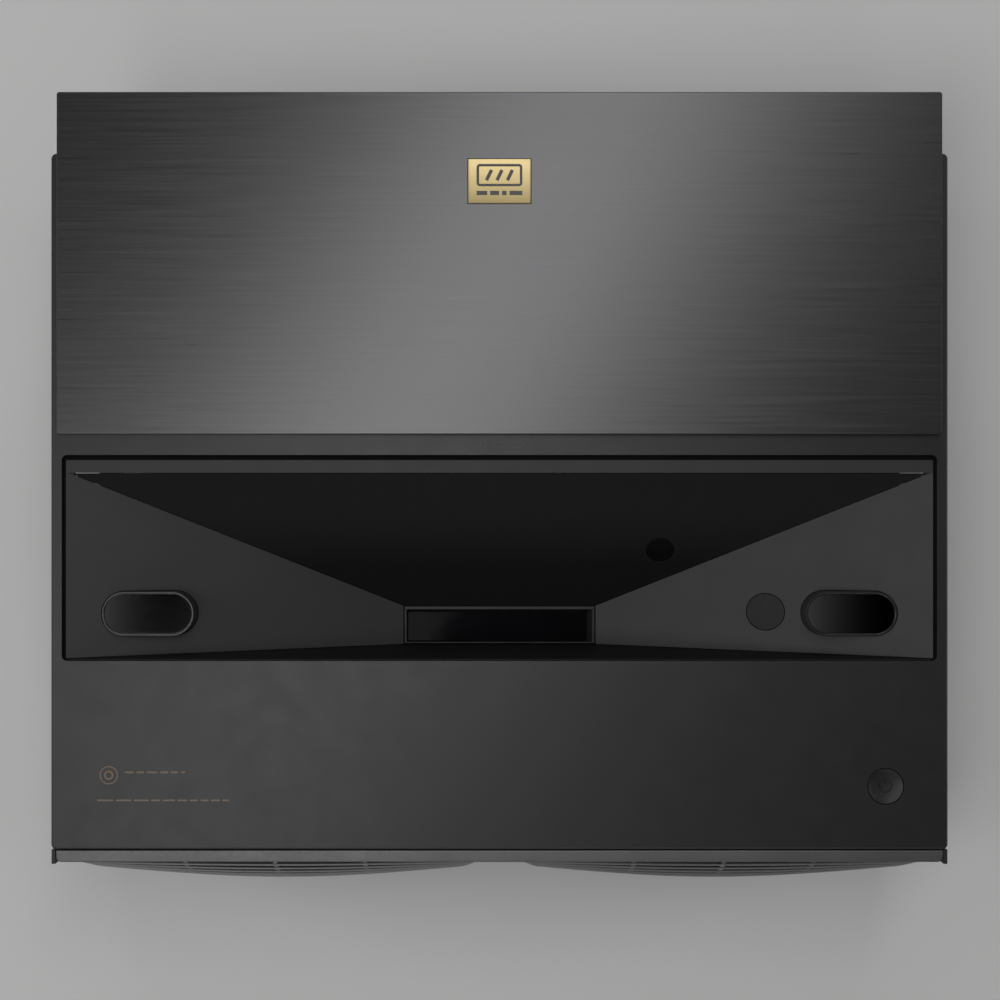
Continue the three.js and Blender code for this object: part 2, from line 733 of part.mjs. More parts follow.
// A spur gear outline with a little backlash; a tooth or a gap can face the angle `start`.
function gearOutline(teeth, start) {
  const pitchRadius = teeth * gearModule / 2;
  const tip = pitchRadius + 0.85 * gearModule;
  const root = pitchRadius - 1.15 * gearModule;
  const shape = new THREE.Shape();
  const step = 2 * Math.PI / teeth;
  for (let i = 0; i < teeth; i += 1) {
    const centre = start + i * step;
    const corners = [[root, -0.27], [tip, -0.11], [tip, 0.11], [root, 0.27]];
    corners.forEach(([radius, share], k) => {
      const angle = centre + share * step;
      const x = radius * Math.cos(angle);
      const y = radius * Math.sin(angle);
      if (i === 0 && k === 0) shape.moveTo(x, y);
      else shape.lineTo(x, y);
    });
  }
  return shape;
}

// Stands a gear made in XY on the lens axis direction, with its front face at y.
function gearAt(shape, x, y, z) {
  const geometry = new THREE.ExtrudeGeometry(shape, { depth: gearWidth, bevelEnabled: false, curveSegments: 20 });
  geometry.rotateX(Math.PI / 2);
  geometry.translate(x, y + gearWidth, z);
  return solid(geometry);
}

function makeLens() {
  const seatFront = ringFront - 1;
  const seatRear = ringFront + gearWidth + 1;
  const rear = engineFront - gap;
  piece('lens_barrel', turned([
    [0, barrelFront + 8], [22, barrelFront + 3], [22, barrelFront], [barrelRadius + 2, barrelFront],
    [barrelRadius + 2, seatFront - 6], [barrelRadius, seatFront], [ringSeatRadius, seatFront],
    [ringSeatRadius, seatRear], [barrelRadius, seatRear], [barrelRadius, rear - 12],
    [barrelRadius + 8, rear - 12], [barrelRadius + 8, rear], [0, rear],
  ], 'y', 0, 0, lensHeight, 28), 0x1a1a1c, 0.4, 0.6);

  const pitchGap = 0.15;
  const centreDistance = (ringTeeth + pinionTeeth) * gearModule / 2 + pitchGap;
  const ring = gearOutline(ringTeeth, Math.PI / ringTeeth);
  const bore = new THREE.Path();
  bore.absarc(0, 0, ringSeatRadius + 2 * gap, 0, 2 * Math.PI, true);
  ring.holes.push(bore);
  piece('focus_ring', gearAt(ring, 0, ringFront, lensHeight), 0x2b2b2e, 0.5);
  piece('focus_pinion', gearAt(gearOutline(pinionTeeth, Math.PI), centreDistance, ringFront, lensHeight),
    0xd8d4c8, 0.5);

  const motorFront = ringFront + gearWidth + 1.2;
  const can = turned([
    [0, motorFront], [7.5, motorFront], [7.5, 36], [0, 36],
  ], 'y', centreDistance, 0, lensHeight, 24);
  const foot = block(centreDistance - 3, centreDistance + 7, 30, engineFront - gap, lensHeight - 4, lensHeight + 4);
  const clear = bar('y', barrelRadius + 8 + gap, 40, 0, engineFront, lensHeight, 36);
  piece('focus_motor', cut(join(can, foot), clear), steel, 0.4, 1);
}

function makeMirror() {
  const front = barrelFront - 58;
  const body = hull([
    [-46, front, 40], [46, front, 40], [-46, front - 12, 40], [46, front - 12, 40],
    [-46, front + 12, 92], [46, front + 12, 92], [-46, front - 12, 92], [46, front - 12, 92],
  ]);
  const ball = new THREE.SphereGeometry(110, 40, 28);
  ball.translate(0, front + 108, 54);
  const foot = block(-30, 30, front - 12, front - 8, panTop + gap, 42);
  piece('projection_mirror', join(cut(body, solid(ball)), foot), 0xc8ccd2, 0.05, 1);
}

function makeEngine() {
  const half = engineWidth / 2;
  const rear = engineFront + engineDepth;
  const shellWall = 4;
  const outer = block(-half, half, engineFront, rear, engineBottom, engineTop);
  const inside = block(-half + shellWall, half - shellWall, engineFront + shellWall, rear - shellWall,
    engineBottom - 1, engineTop - shellWall);
  const port = bar('y', 15, 20, 0, engineFront, lensHeight);
  const laserPort = block(-half - 1, -half + shellWall + 1, engineFront + 12, rear - 42, 56, 96);
  const motorPost = bar('y', 6, 40, wheelX, rear - 20, wheelZ, 24);
  const legs = [-1, 1].flatMap((sx) => [engineFront, rear - 10].map((y) => block(
    sx * (half - 5) - 5, sx * (half - 5) + 5, y, y + 10, panTop + gap, engineBottom + 1,
  )));
  const trimmed = block(-half, half, engineFront, rear, 0, engineTop);
  const body = join(cut(outer, inside, port, laserPort), motorPost, ...legs).intersect(trimmed);
  piece('engine_housing', body, 0x8d9094, 0.5, 1);

  const back = rear - 40 - gap;
  piece('phosphor_wheel', turned([
    [0, back - 12], [7, back - 12], [7, back - 9], [wheelRadius, back - 9], [wheelRadius, back - 8],
    [9, back - 8], [9, back], [0, back],
  ], 'y', wheelX, 0, wheelZ, 28), 0xd9c64e, 0.3, 0.5);
}

const wheelX = -18;
const wheelZ = 74;
const laserFront = engineFront + 4;
const laserRear = laserFront + 46;

function makeLasers() {
  const inner = -engineWidth / 2 - gap;
  const body = block(inner - 26, inner - 8, laserFront, laserRear, 46, 104);
  const lenses = [];
  [0, 1, 2, 3].forEach((row) => {
    [0, 1].forEach((column) => {
      lenses.push(bar('x', 5, 9, inner - 5, laserFront + 13 + column * 20, 54 + row * 14, 10));
    });
  });
  piece('laser_bank', join(body, ...lenses), 0xb59a4a, 0.4, 1);

  const comb = new THREE.Shape();
  const baseX = inner - 26 - gap;
  const finTip = -halfWidth + panelWall + fanDepth + 14;
  const finCount = 14;
  const finPitch = 4.6;
  const finWall = 1.6;
  const low = laserFront - 8;
  comb.moveTo(baseX, low);
  comb.lineTo(baseX, low + (finCount - 1) * finPitch + finWall);
  for (let i = finCount - 1; i >= 0; i -= 1) {
    const y = low + i * finPitch;
    if (i < finCount - 1) comb.lineTo(baseX - 5, y + finWall);
    comb.lineTo(finTip, y + finWall);
    comb.lineTo(finTip, y);
    if (i > 0) comb.lineTo(baseX - 5, y);
  }
  piece('laser_heatsink', plate(comb, 42, 108), 0xa4a7ab, 0.4, 1);
}

// ---- Sound ----

function makeSpeakers() {
  eachSide((side, word) => {
    const face = baffleFront + baffleWall + gap;
    piece(`speaker_${word}`, turned([
      [speakerRadius - 6, face], [speakerRadius, face], [speakerRadius, face + 3],
      [speakerRadius - 4, face + 4], [30, face + 32], [30, face + 50], [0, face + 50],
      [0, face + 38], [24, face + 30], [speakerRadius - 9, face + 3], [speakerRadius - 6, face],
    ], 'y', side * speakerX, 0, speakerHeight, 28), 0x3a3b3e, 0.5, 0.6);
    piece(`speaker_cone_${word}`, turned([
      [0, face + 13], [10, face + 16], [speakerRadius - 13, face + 2.2],
      [speakerRadius - 13, face + 4.4], [11, face + 20], [0, face + 20],
    ], 'y', side * speakerX, 0, speakerHeight, 28), 0x1d1d1f, 0.8);
  });
}

// ---- Cooling ----

function makeFans() {
  eachSide((side, word) => {
    const outerX = halfWidth - panelWall - 3;
    const x = side * (outerX - fanDepth / 2);
    const half = fanSize / 2;
    const frame = block(x - fanDepth / 2, x + fanDepth / 2, fanY - half, fanY + half,
      fanHeight - half, fanHeight + half);
    const duct = bar('x', half - 2.5, fanDepth + 2, x, fanY, fanHeight, 40);
    const strutX = x - side * (fanDepth / 2 - 1.5);
    const plateHub = bar('x', 19, 3, strutX, fanY, fanHeight, 28);
    const strutA = block(strutX - 1.5, strutX + 1.5, fanY - half + 1, fanY + half - 1, fanHeight - 2, fanHeight + 2);
    const strutB = block(strutX - 1.5, strutX + 1.5, fanY - 2, fanY + 2, fanHeight - half + 1, fanHeight + half - 1);
    piece(`fan_frame_${word}`, join(cut(frame, duct), plateHub, strutA, strutB), black, 0.6);

    const from = -fanDepth / 2 + 5;
    const to = fanDepth / 2 - 1.5;
    const rotor = [];
    for (let i = 0; i < bladeCount; i += 1) {
      const blade = [];
      [[16, -0.18, 0.18], [half - 5, -0.24, 0.24]].forEach(([radius, a, b]) => {
        [[a, from + 1], [b, to - 1]].forEach(([angle, station]) => {
          [-0.03, 0.03].forEach((thick) => {
            const turn = angle + thick + i * 2 * Math.PI / bladeCount;
            blade.push([x + side * station, fanY + radius * Math.cos(turn), fanHeight + radius * Math.sin(turn)]);
          });
        });
      });
      rotor.push(hull(blade));
    }
    const hub = bar('x', 19, to - from, x + side * (from + to) / 2, fanY, fanHeight, 28);
    piece(`fan_rotor_${word}`, join(hub, ...rotor), 0x1e1e20, 0.5);
  });
}

// ---- Electronics ----

const boardZ = 26;
const boardLeft = -193;
const boardRight = -64;
const socketRear = halfDepth - 0.6;

// Sockets on the rear edge of the main board: outer shell and inner mouth.
const socketPlaces = [
  { x: -183, z: boardZ + 6, width: 15.5, height: 6.4, mouth: [14, 4.6], tongue: 1.2 },
  { x: -162, z: boardZ + 6, width: 15.5, height: 6.4, mouth: [14, 4.6], tongue: 1.2 },
  { x: -141, z: boardZ + 6.4, width: 14, height: 7, mouth: [12.5, 5.1], tongue: 1.9 },
  { x: -121, z: boardZ + 9.5, width: 15.4, height: 13.2, mouth: [11.8, 8.6], tongue: 0 },
  { x: -101, z: boardZ + 8, width: 10, height: 10, mouth: [3.6, 3.6], tongue: 0 },
  { x: -83, z: boardZ + 8, width: 10, height: 10, mouth: [3.6, 3.6], tongue: 0 },
];
const socketDepth = 13;

// The opening in the rear panel that takes the whole row of sockets.
function socketBay() {
  const sides = socketPlaces.flatMap(({ x, width }) => [x - width / 2, x + width / 2]);
  const levels = socketPlaces.flatMap(({ z, height }) => [z - height / 2, z + height / 2]);
  return {
    left: Math.min(...sides) - 1,
    right: Math.max(...sides) + 1,
    low: Math.min(...levels) - 1,
    high: Math.max(...levels) + 1,
  };
}

function makeMainBoard() {
  const rear = halfDepth - panelWall - gap;
  const front = rear - 82;
  let body = block(boardLeft, boardRight, front, rear, boardZ, boardZ + 1.6);
  socketPlaces.forEach(({ x, z, width, height, mouth, tongue }) => {
    const low = boardZ + 1;
    const shell = block(x - width / 2, x + width / 2, socketRear - 18, socketRear, z - height / 2, z + height / 2);
    const seat = block(x - width / 2, x + width / 2, socketRear - 18, rear - 1, low, z);
    const hollow = block(x - mouth[0] / 2, x + mouth[0] / 2, socketRear - socketDepth, socketRear + 2,
      z - mouth[1] / 2, z + mouth[1] / 2);
    body = join(body, cut(join(shell, seat), hollow));
    if (tongue > 0) {
      body = join(body, block(x - mouth[0] / 2 + 1.4, x + mouth[0] / 2 - 1.4, socketRear - socketDepth - 1,
        socketRear - 1.5, z - tongue / 2, z + tongue / 2));
    }
  });
  const posts = [boardLeft + 6, boardRight - 6].flatMap((x) => [front + 6, rear - 30].map((y) => (
    bar('z', 3, boardZ - panTop - gap + 1, x, y, (boardZ + 1 + panTop + gap) / 2, 12))));
  const spreader = block(-170, -110, front + 12, front + 48, boardZ + 1, boardZ + 9);
  const bay = socketBay();
  let shield = block(bay.left - 2, bay.right + 2, rear - 1.2, rear, boardZ + 1, bay.high + 2);
  socketPlaces.forEach(({ x, z, mouth }) => {
    shield = cut(shield, block(x - mouth[0] / 2, x + mouth[0] / 2, rear - 2, rear + 1,
      z - mouth[1] / 2, z + mouth[1] / 2));
  });
  piece('main_board', join(body, spreader, shield, ...posts), 0x1d5a32, 0.6);
}

const inletX = 150;
const inletZ = 46;
const inletWidth = 28;
const inletHeight = 20;

function makeMainsInlet() {
  const face = halfDepth + 0.6;
  const depth = 24;
  const body = block(inletX - inletWidth / 2, inletX + inletWidth / 2, face - depth, face,
    inletZ - inletHeight / 2, inletZ + inletHeight / 2);
  const recess = block(inletX - 12, inletX + 12, face - 18, face + 1, inletZ - 8, inletZ + 8);
  const pins = [[-7, -2], [7, -2], [0, 2]].map(([dx, dz]) => block(inletX + dx - 1, inletX + dx + 1,
    face - 20, face - 4, inletZ + dz - 2, inletZ + dz + 2));
  piece('mains_inlet', join(cut(body, recess), ...pins), black, 0.5);
}

function makePowerSupply() {
  const low = panTop + gap;
  const x0 = 84;
  const x1 = 186;
  const y0 = 36;
  const y1 = 158;
  const tray = block(x0, x1, y0, y1, low, low + 2);
  const walls = [block(x0, x0 + 2, y0, y1, low, low + 34), block(x1 - 2, x1, y0, y1, low, low + 34)];
  const transformer = block(x0 + 36, x0 + 74, y0 + 44, y0 + 80, low + 1, low + 38);
  const cans = [0, 1, 2].map((i) => bar('z', 12, 40, x0 + 24 + i * 30, y1 - 20, low + 21, 20));
  const sink = block(x0 + 14, x0 + 18, y0 + 14, y0 + 90, low + 1, low + 36);
  piece('power_supply', join(tray, ...walls, transformer, ...cans, sink), 0x6b6e72, 0.5, 0.8);
}

// ---- Levelling feet ----

const footPlaces = [
  [-halfWidth + footInsetX, -halfDepth + footInsetY],
  [halfWidth - footInsetX, -halfDepth + footInsetY],
  [-halfWidth + footInsetX, halfDepth - footInsetY],
  [halfWidth - footInsetX, halfDepth - footInsetY],
];
const footWords = ['front_left', 'front_right', 'rear_left', 'rear_right'];

function makeFeet() {
  footPlaces.forEach(([x, y], i) => {
    const seat = 3;
    piece(`foot_pad_${footWords[i]}`, turned([
      [0, 0], [padRadius - 1, 0], [padRadius, 1], [padRadius, padHeight - 2], [padRadius - 2, padHeight],
      [studRadius + runningFit + 0.1, padHeight], [studRadius + runningFit + 0.1, seat], [0, seat],
    ], 'z', x, y, 0, 24), 0x141415, 0.8);
    piece(`foot_stud_${footWords[i]}`, turned([
      [0, seat + gap], [studRadius, seat + gap], [studRadius, seat + gap + studLength - 1],
      [studRadius - 1, seat + gap + studLength], [0, seat + gap + studLength],
    ], 'z', x, y, 0, 12), 0xa9abb0, 0.35, 1);
  });
}

const pillX = trayHalf - pillInset;
const pillY = windowFront + windowDepth / 2 + 9.2;
const pillTop = caseTop - pillDrop;
const receiverX = trayHalf - receiverInset;

makeTopCase();
makeBasePan();
makeSidePanels();
makeRearPanel();
makeTrimBar();
makeGrille();
makeBaffle();
makeTray();
makeRamp();
makeFrontWall();
makeWindow();
makePills();
makeReceiver();
makeCover();
makeBrackets();
makeScrewDrive();
makeButton();
makeLens();
makeMirror();
makeEngine();
makeLasers();
makeSpeakers();
makeFans();
makeMainBoard();
makeMainsInlet();
makePowerSupply();
makeFeet();

// The origin is under the middle of the whole object, on the surface that it stands on.
const reach = new THREE.Box3().setFromObject(projector);
projector.position.y = -(reach.min.y + reach.max.y) / 2;

export default projector;
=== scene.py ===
import math
import random

import bmesh
import bpy
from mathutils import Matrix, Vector


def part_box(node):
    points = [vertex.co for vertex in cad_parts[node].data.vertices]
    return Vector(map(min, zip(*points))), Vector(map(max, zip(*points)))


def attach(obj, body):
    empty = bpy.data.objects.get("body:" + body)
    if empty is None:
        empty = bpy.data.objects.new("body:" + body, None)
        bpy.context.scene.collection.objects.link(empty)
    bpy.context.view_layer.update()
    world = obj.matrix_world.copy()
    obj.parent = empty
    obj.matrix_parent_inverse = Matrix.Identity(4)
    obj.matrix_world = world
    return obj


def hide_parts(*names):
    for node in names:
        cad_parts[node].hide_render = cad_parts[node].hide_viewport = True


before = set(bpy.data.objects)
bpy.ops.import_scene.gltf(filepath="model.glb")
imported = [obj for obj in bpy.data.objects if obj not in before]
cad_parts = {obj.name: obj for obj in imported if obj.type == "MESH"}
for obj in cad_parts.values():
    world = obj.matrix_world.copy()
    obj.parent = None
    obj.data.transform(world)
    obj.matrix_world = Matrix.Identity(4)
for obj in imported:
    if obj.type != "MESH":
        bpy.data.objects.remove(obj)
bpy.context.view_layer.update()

# ---- Top case ----
# One injection-moulded shell in dark grey plastic, with a skirt down all four sides.
# Its show face has a fine spark-eroded grain, and it drops over the base pan and side panels.


def new_finish(name):
    finish = bpy.data.materials.new(name)
    finish.use_nodes = True
    return finish, finish.node_tree, finish.node_tree.nodes["Principled BSDF"]


def speckle(tree, size, detail=2.0, stretch=(1, 1, 1)):
    place = tree.nodes.new("ShaderNodeTexCoord")
    lay = tree.nodes.new("ShaderNodeMapping")
    lay.inputs["Scale"].default_value = stretch
    spots = tree.nodes.new("ShaderNodeTexNoise")
    spots.inputs["Scale"].default_value = 1 / size
    spots.inputs["Detail"].default_value = detail
    tree.links.new(place.outputs["Object"], lay.inputs["Vector"])
    tree.links.new(lay.outputs["Vector"], spots.inputs["Vector"])
    return spots.outputs["Fac"]


def between(tree, amount, low, high, start=0.3, stop=0.7):
    spread = tree.nodes.new("ShaderNodeMapRange")
    spread.inputs["From Min"].default_value = start
    spread.inputs["From Max"].default_value = stop
    spread.inputs["To Min"].default_value = low
    spread.inputs["To Max"].default_value = high
    tree.links.new(amount, spread.inputs["Value"])
    return spread.outputs["Result"]


def two_tones(tree, amount, dark, light):
    blend = tree.nodes.new("ShaderNodeMix")
    blend.data_type = "RGBA"
    blend.inputs[6].default_value = (*dark, 1)
    blend.inputs[7].default_value = (*light, 1)
    tree.links.new(amount, blend.inputs[0])
    return blend.outputs[2]


def relief(tree, height, depth, under=None):
    raised = tree.nodes.new("ShaderNodeBump")
    raised.inputs["Distance"].default_value = depth
    tree.links.new(height, raised.inputs["Height"])
    if under is not None:
        tree.links.new(under, raised.inputs["Normal"])
    return raised.outputs["Normal"]


def moulded_plastic(name, tone, gloss, grain=0.0006, depth=0.00003, shine=0.5):
    finish, tree, shader = new_finish(name)
    cloud = between(tree, speckle(tree, 0.07, 3), 0, 1)
    dark = [0.97 * c for c in tone]
    light = [1.03 * c for c in tone]
    tree.links.new(two_tones(tree, cloud, dark, light), shader.inputs["Base Color"])
    rub = between(tree, speckle(tree, 0.012, 4), gloss - 0.02, gloss + 0.02)
    tree.links.new(rub, shader.inputs["Roughness"])
    shader.inputs["Specular IOR Level"].default_value = shine
    tree.links.new(relief(tree, speckle(tree, grain, 3), depth), shader.inputs["Normal"])
    return finish


def finished(name, mesh, finish, edge=0.0, steps=2):
    mesh.materials.clear()
    mesh.materials.append(finish)
    mesh.shade_smooth()
    mesh.set_sharp_from_angle(angle=math.radians(32))
    piece = bpy.data.objects.new(name, mesh)
    bpy.context.scene.collection.objects.link(piece)
    if edge:
        soft = piece.modifiers.new("soft_edges", "BEVEL")
        soft.width = edge
        soft.segments = steps
        soft.limit_method = "ANGLE"
        soft.angle_limit = math.radians(32)
    even = piece.modifiers.new("even_faces", "WEIGHTED_NORMAL")
    even.weight = 100
    even.keep_sharp = True
    return piece


def refined(name, node, finish, edge=0.0, steps=2):
    shape = bmesh.new()
    shape.from_mesh(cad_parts[node].data)
    bmesh.ops.remove_doubles(shape, verts=shape.verts, dist=2e-6)
    bmesh.ops.dissolve_limit(shape, angle_limit=math.radians(0.5), verts=shape.verts, edges=shape.edges)
    mesh = bpy.data.meshes.new(name)
    shape.to_mesh(mesh)
    shape.free()
    return finished(name, mesh, finish, edge, steps)


def mount(piece, body, slot, *nodes):
    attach(piece, body)
    if nodes:
        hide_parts(*nodes)


case_grain = moulded_plastic("case_grain", (0.0172, 0.0172, 0.0178), 0.38)
top_shell = refined("top_shell", "top_case", case_grain, 0.00025)
mount(top_shell, "chassis", "case_grey", "top_case")

# ---- Base pan ----
# A folded tray of steel sheet, powder-coated black, which carries everything inside.
# Round bosses hold the feet, and pan-head screws fix the pan up into the panels.


def coated_steel(name, tone, gloss):
    finish, tree, shader = new_finish(name)
    mottle = between(tree, speckle(tree, 0.03, 4), 0, 1)
    dark = [0.85 * c for c in tone]
    light = [1.15 * c for c in tone]
    tree.links.new(two_tones(tree, mottle, dark, light), shader.inputs["Base Color"])
    rub = between(tree, speckle(tree, 0.006, 3), gloss - 0.06, gloss + 0.08)
    tree.links.new(rub, shader.inputs["Roughness"])
    peel = relief(tree, speckle(tree, 0.0016, 2), 0.00006)
    tree.links.new(relief(tree, speckle(tree, 0.0004, 1), 0.00001, peel), shader.inputs["Normal"])
    return finish


def machined_metal(name, tone, gloss, lay_axis="y", pitch=0.0004):
    finish, tree, shader = new_finish(name)
    shader.inputs["Metallic"].default_value = 1
    stretch = {"x": (1, 0.05, 0.05), "y": (0.05, 1, 0.05), "z": (0.05, 0.05, 1)}[lay_axis]
    lines = speckle(tree, pitch, 2, stretch)
    stain = between(tree, speckle(tree, 0.02, 4), 0, 1)
    dark = [0.82 * c for c in tone]
    light = [1.1 * c for c in tone]
    tree.links.new(two_tones(tree, stain, dark, light), shader.inputs["Base Color"])
    tree.links.new(between(tree, lines, gloss - 0.07, gloss + 0.09), shader.inputs["Roughness"])
    tree.links.new(relief(tree, lines, 0.00002), shader.inputs["Normal"])
    return finish


def formed(name, shape, finish, edge=0.0, steps=2):
    bmesh.ops.recalc_face_normals(shape, faces=shape.faces)
    mesh = bpy.data.meshes.new(name)
    shape.to_mesh(mesh)
    shape.free()
    return finished(name, mesh, finish, edge, steps)


def screw_heads(name, places, facing, radius, finish):
    shape = bmesh.new()
    along, up = facing
    side = along.cross(up)
    profile = [(1.0, 0.0), (1.0, 0.35), (0.82, 0.62), (0.5, 0.74), (0.0, 0.78)]
    for place in places:
        rings = []
        for share, rise in profile[:-1]:
            ring = []
            for k in range(24):
                turn = k * math.tau / 24
                cross = 0.55 if share == 0.5 and k % 6 == 0 else 1.0
                out = up * math.cos(turn) + side * math.sin(turn)
                ring.append(shape.verts.new(place + out * radius * share * cross + along * radius * rise))
            rings.append(ring)
        for low, high in zip(rings, rings[1:]):
            for k in range(24):
                shape.faces.new((low[k], low[k - 1], high[k - 1], high[k]))
        recess = [shape.verts.new(v.co * 0.35 + (place + along * radius * 0.3) * 0.65) for v in rings[-1]]
        for k in range(24):
            shape.faces.new((rings[-1][k], rings[-1][k - 1], recess[k - 1], recess[k]))
        shape.faces.new(recess)
        shape.faces.new(rings[0])
    return formed(name, shape, finish)


pan_coat = coated_steel("pan_coat", (0.017, 0.017, 0.018), 0.52)
pan = refined("pan_tray", "base_pan", pan_coat, 0.0004)
mount(pan, "chassis", "pan_steel", "base_pan")

screw_steel = machined_metal("screw_steel", (0.10, 0.10, 0.105), 0.4, "z")
pan_low, pan_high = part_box("base_pan")
pan_inset = 0.012
pan_places = []
for x in (pan_low.x + pan_inset, 0.0, pan_high.x - pan_inset):
    for y in (pan_low.y + pan_inset, 0.0, pan_high.y - pan_inset):
        if x != 0.0 or y != 0.0:
            pan_places.append(Vector((x, y, pan_low.z)))
pan_facing = (Vector((0, 0, -1)), Vector((1, 0, 0)))
pan_screws = screw_heads("pan_screws", pan_places, pan_facing, 0.003, screw_steel)
mount(pan_screws, "chassis", "drive_steel")

# ---- Side panels ----
# A flat moulding on each side in matt black, clipped under the top case's skirt.
# Each has a row of upright louvre slots in front of its fan.

panel_black = moulded_plastic("panel_black", (0.014, 0.014, 0.0148), 0.5, 0.0008, 0.00004)
for word in ("left", "right"):
    panel = refined("cheek_" + word, "side_panel_" + word, panel_black, 0.00035)
    mount(panel, "chassis", "shell_black", "side_panel_" + word)

# ---- Rear panel ----
# A flat black moulding with cut-outs for the sockets and the mains inlet, and a row of vent slots.
# Six small screws hold it to the pan and the top case.

rear_sheet = refined("rear_sheet", "rear_panel", panel_black, 0.0003)
mount(rear_sheet, "chassis", "shell_black", "rear_panel")
rear_low, rear_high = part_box("rear_panel")
rear_places = []
for x in (rear_low.x + 0.009, -0.02, rear_high.x - 0.009):
    for z in (rear_low.z + 0.006, rear_high.z - 0.007):
        rear_places.append(Vector((x, rear_high.y, z)))
rear_facing = (Vector((0, 1, 0)), Vector((0, 0, 1)))
rear_screws = screw_heads("rear_screws", rear_places, rear_facing, 0.0026, screw_steel)
mount(rear_screws, "chassis", "drive_steel")

# ---- Trim bar ----
# A solid aluminium bar across the front, bead-blasted and anodised a warm grey.
# Its long edges are rounded, and it screws to the top case from inside.


def blasted_aluminium(name, tone, gloss):
    finish, tree, shader = new_finish(name)
    shader.inputs["Metallic"].default_value = 1
    drift = between(tree, speckle(tree, 0.05, 3), 0, 1)
    dark = [0.9 * c for c in tone]
    light = [1.08 * c for c in tone]
    tree.links.new(two_tones(tree, drift, dark, light), shader.inputs["Base Color"])
    rub = between(tree, speckle(tree, 0.0015, 3), gloss - 0.05, gloss + 0.06)
    tree.links.new(rub, shader.inputs["Roughness"])
    tree.links.new(relief(tree, speckle(tree, 0.00025, 2), 0.000012), shader.inputs["Normal"])
    return finish


bar_anodised = blasted_aluminium("bar_anodised", (0.165, 0.165, 0.169), 0.50)
front_bar = refined("front_bar", "trim_bar", bar_anodised, 0.0002)
mount(front_bar, "chassis", "bar_metal", "trim_bar")

# ---- Grille ----
# Sixteen level ribs of dark moulded plastic, swept forward into two soft lobes side by side.
# Slim upright posts tie the ribs together behind their front edges.

rib_count = 16
rib_height = 0.0022
rib_depth = 0.003
lobe_reach = 0.021
lobe_fullness = 0.56
lobe_inner = 0.004
lobe_outer = 0.2465
lobe_end = 0.018
lobe_overrun = 0.008
grille_low, grille_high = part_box("front_grille")
grille_face = grille_low.y + lobe_reach
rib_pitch = (grille_high.z - grille_low.z - rib_height) / (rib_count - 1)


def lobe(x, z):
    near = abs(x) - lobe_inner
    far = lobe_outer - abs(x)
    if near <= 0 or far <= 0:
        return 0.0
    swell = lobe_fullness + (1 - lobe_fullness) * math.sin(math.pi * near / (near + far))
    end = math.sin(math.pi / 2 * min(near, far, lobe_end) / lobe_end)
    up = (z - grille_low.z + lobe_overrun) / (grille_high.z - grille_low.z + 2 * lobe_overrun)
    return lobe_reach * swell * end * math.sin(math.pi * up)


def swept(shape, sections):
    rings = [[shape.verts.new(at) for at in section] for section in sections]
    count = len(rings[0])
    for near, far in zip(rings, rings[1:]):
        for k in range(count):
            shape.faces.new((near[k], near[k - 1], far[k - 1], far[k]))
    shape.faces.new(rings[0])
    shape.faces.new(list(reversed(rings[-1])))


ribs = bmesh.new()
half_span = grille_high.x
rib_outline = [(0.0004, 0.0), (0.0001, 0.0005), (0.0, 0.0011), (0.0001, 0.0017), (0.0004, 0.0022),
               (0.0010, 0.0022), (0.0014, 0.0018), (0.0014, 0.0004), (0.0010, 0.0)]
stations = [-half_span + i * 2 * half_span / 180 for i in range(181)]
for k in range(rib_count):
    low = grille_low.z + k * rib_pitch
    middle = low + rib_height / 2
    sections = [[(x, grille_face + y - lobe(x, middle), low + z) for y, z in rib_outline] for x in stations]
    swept(ribs, sections)
post_width = 0.0024
for i in range(10):
    x = (2 * i / 9 - 1) * (half_span - 0.020)
    sections = []
    for k in range(49):
        z = grille_low.z + 0.0004 + k * (grille_high.z - grille_low.z - 0.0008) / 48
        y = grille_face + 0.0009 - lobe(x, z)
        sections.append([(x - post_width / 2, y, z), (x - post_width / 2, y + 0.0016, z),
                         (x + post_width / 2, y + 0.0016, z), (x + post_width / 2, y, z)])
    swept(ribs, sections)
rib_plastic = moulded_plastic("rib_plastic", (0.19, 0.19, 0.194), 0.34, 0.0005, 0.00002)
grille_ribs = formed("grille_ribs", ribs, rib_plastic)
mount(grille_ribs, "chassis", "grille_grey", "front_grille")

# ---- Grille screen ----
# A thin black steel sheet punched with small staggered holes, pressed to the same two lobes; the holes are
# painted shade, near-black spots on the uncut sheet.
# It sits close behind the ribs and hides the baffle and the loudspeakers.


def punched_steel(name, hole_pitch):
    finish, tree, shader = new_finish(name)
    place = tree.nodes.new("ShaderNodeTexCoord")
    lay = tree.nodes.new("ShaderNodeMapping")
    lay.inputs["Scale"].default_value = (1, 0.02, 1)
    hole_shade_cells = tree.nodes.new("ShaderNodeTexVoronoi")
    hole_shade_cells.inputs["Scale"].default_value = 1 / hole_pitch
    hole_shade_cells.inputs["Randomness"].default_value = 0.0
    tree.links.new(place.outputs["Object"], lay.inputs["Vector"])
    tree.links.new(lay.outputs["Vector"], hole_shade_cells.inputs["Vector"])
    # Painted shade: each hole is a near-black spot on the steel, standing in for the dark behind the hole.
    rim = between(tree, hole_shade_cells.outputs["Distance"], 0, 1, 0.28, 0.34)
    steel = two_tones(tree, rim, (0.0015, 0.0015, 0.0015), (0.012, 0.012, 0.0125))
    tree.links.new(steel, shader.inputs["Base Color"])
    tree.links.new(between(tree, speckle(tree, 0.004, 3), 0.5, 0.66), shader.inputs["Roughness"])
    tree.links.new(relief(tree, rim, 0.0003), shader.inputs["Normal"])
    shader.inputs["Specular IOR Level"].default_value = 0.3
    return finish


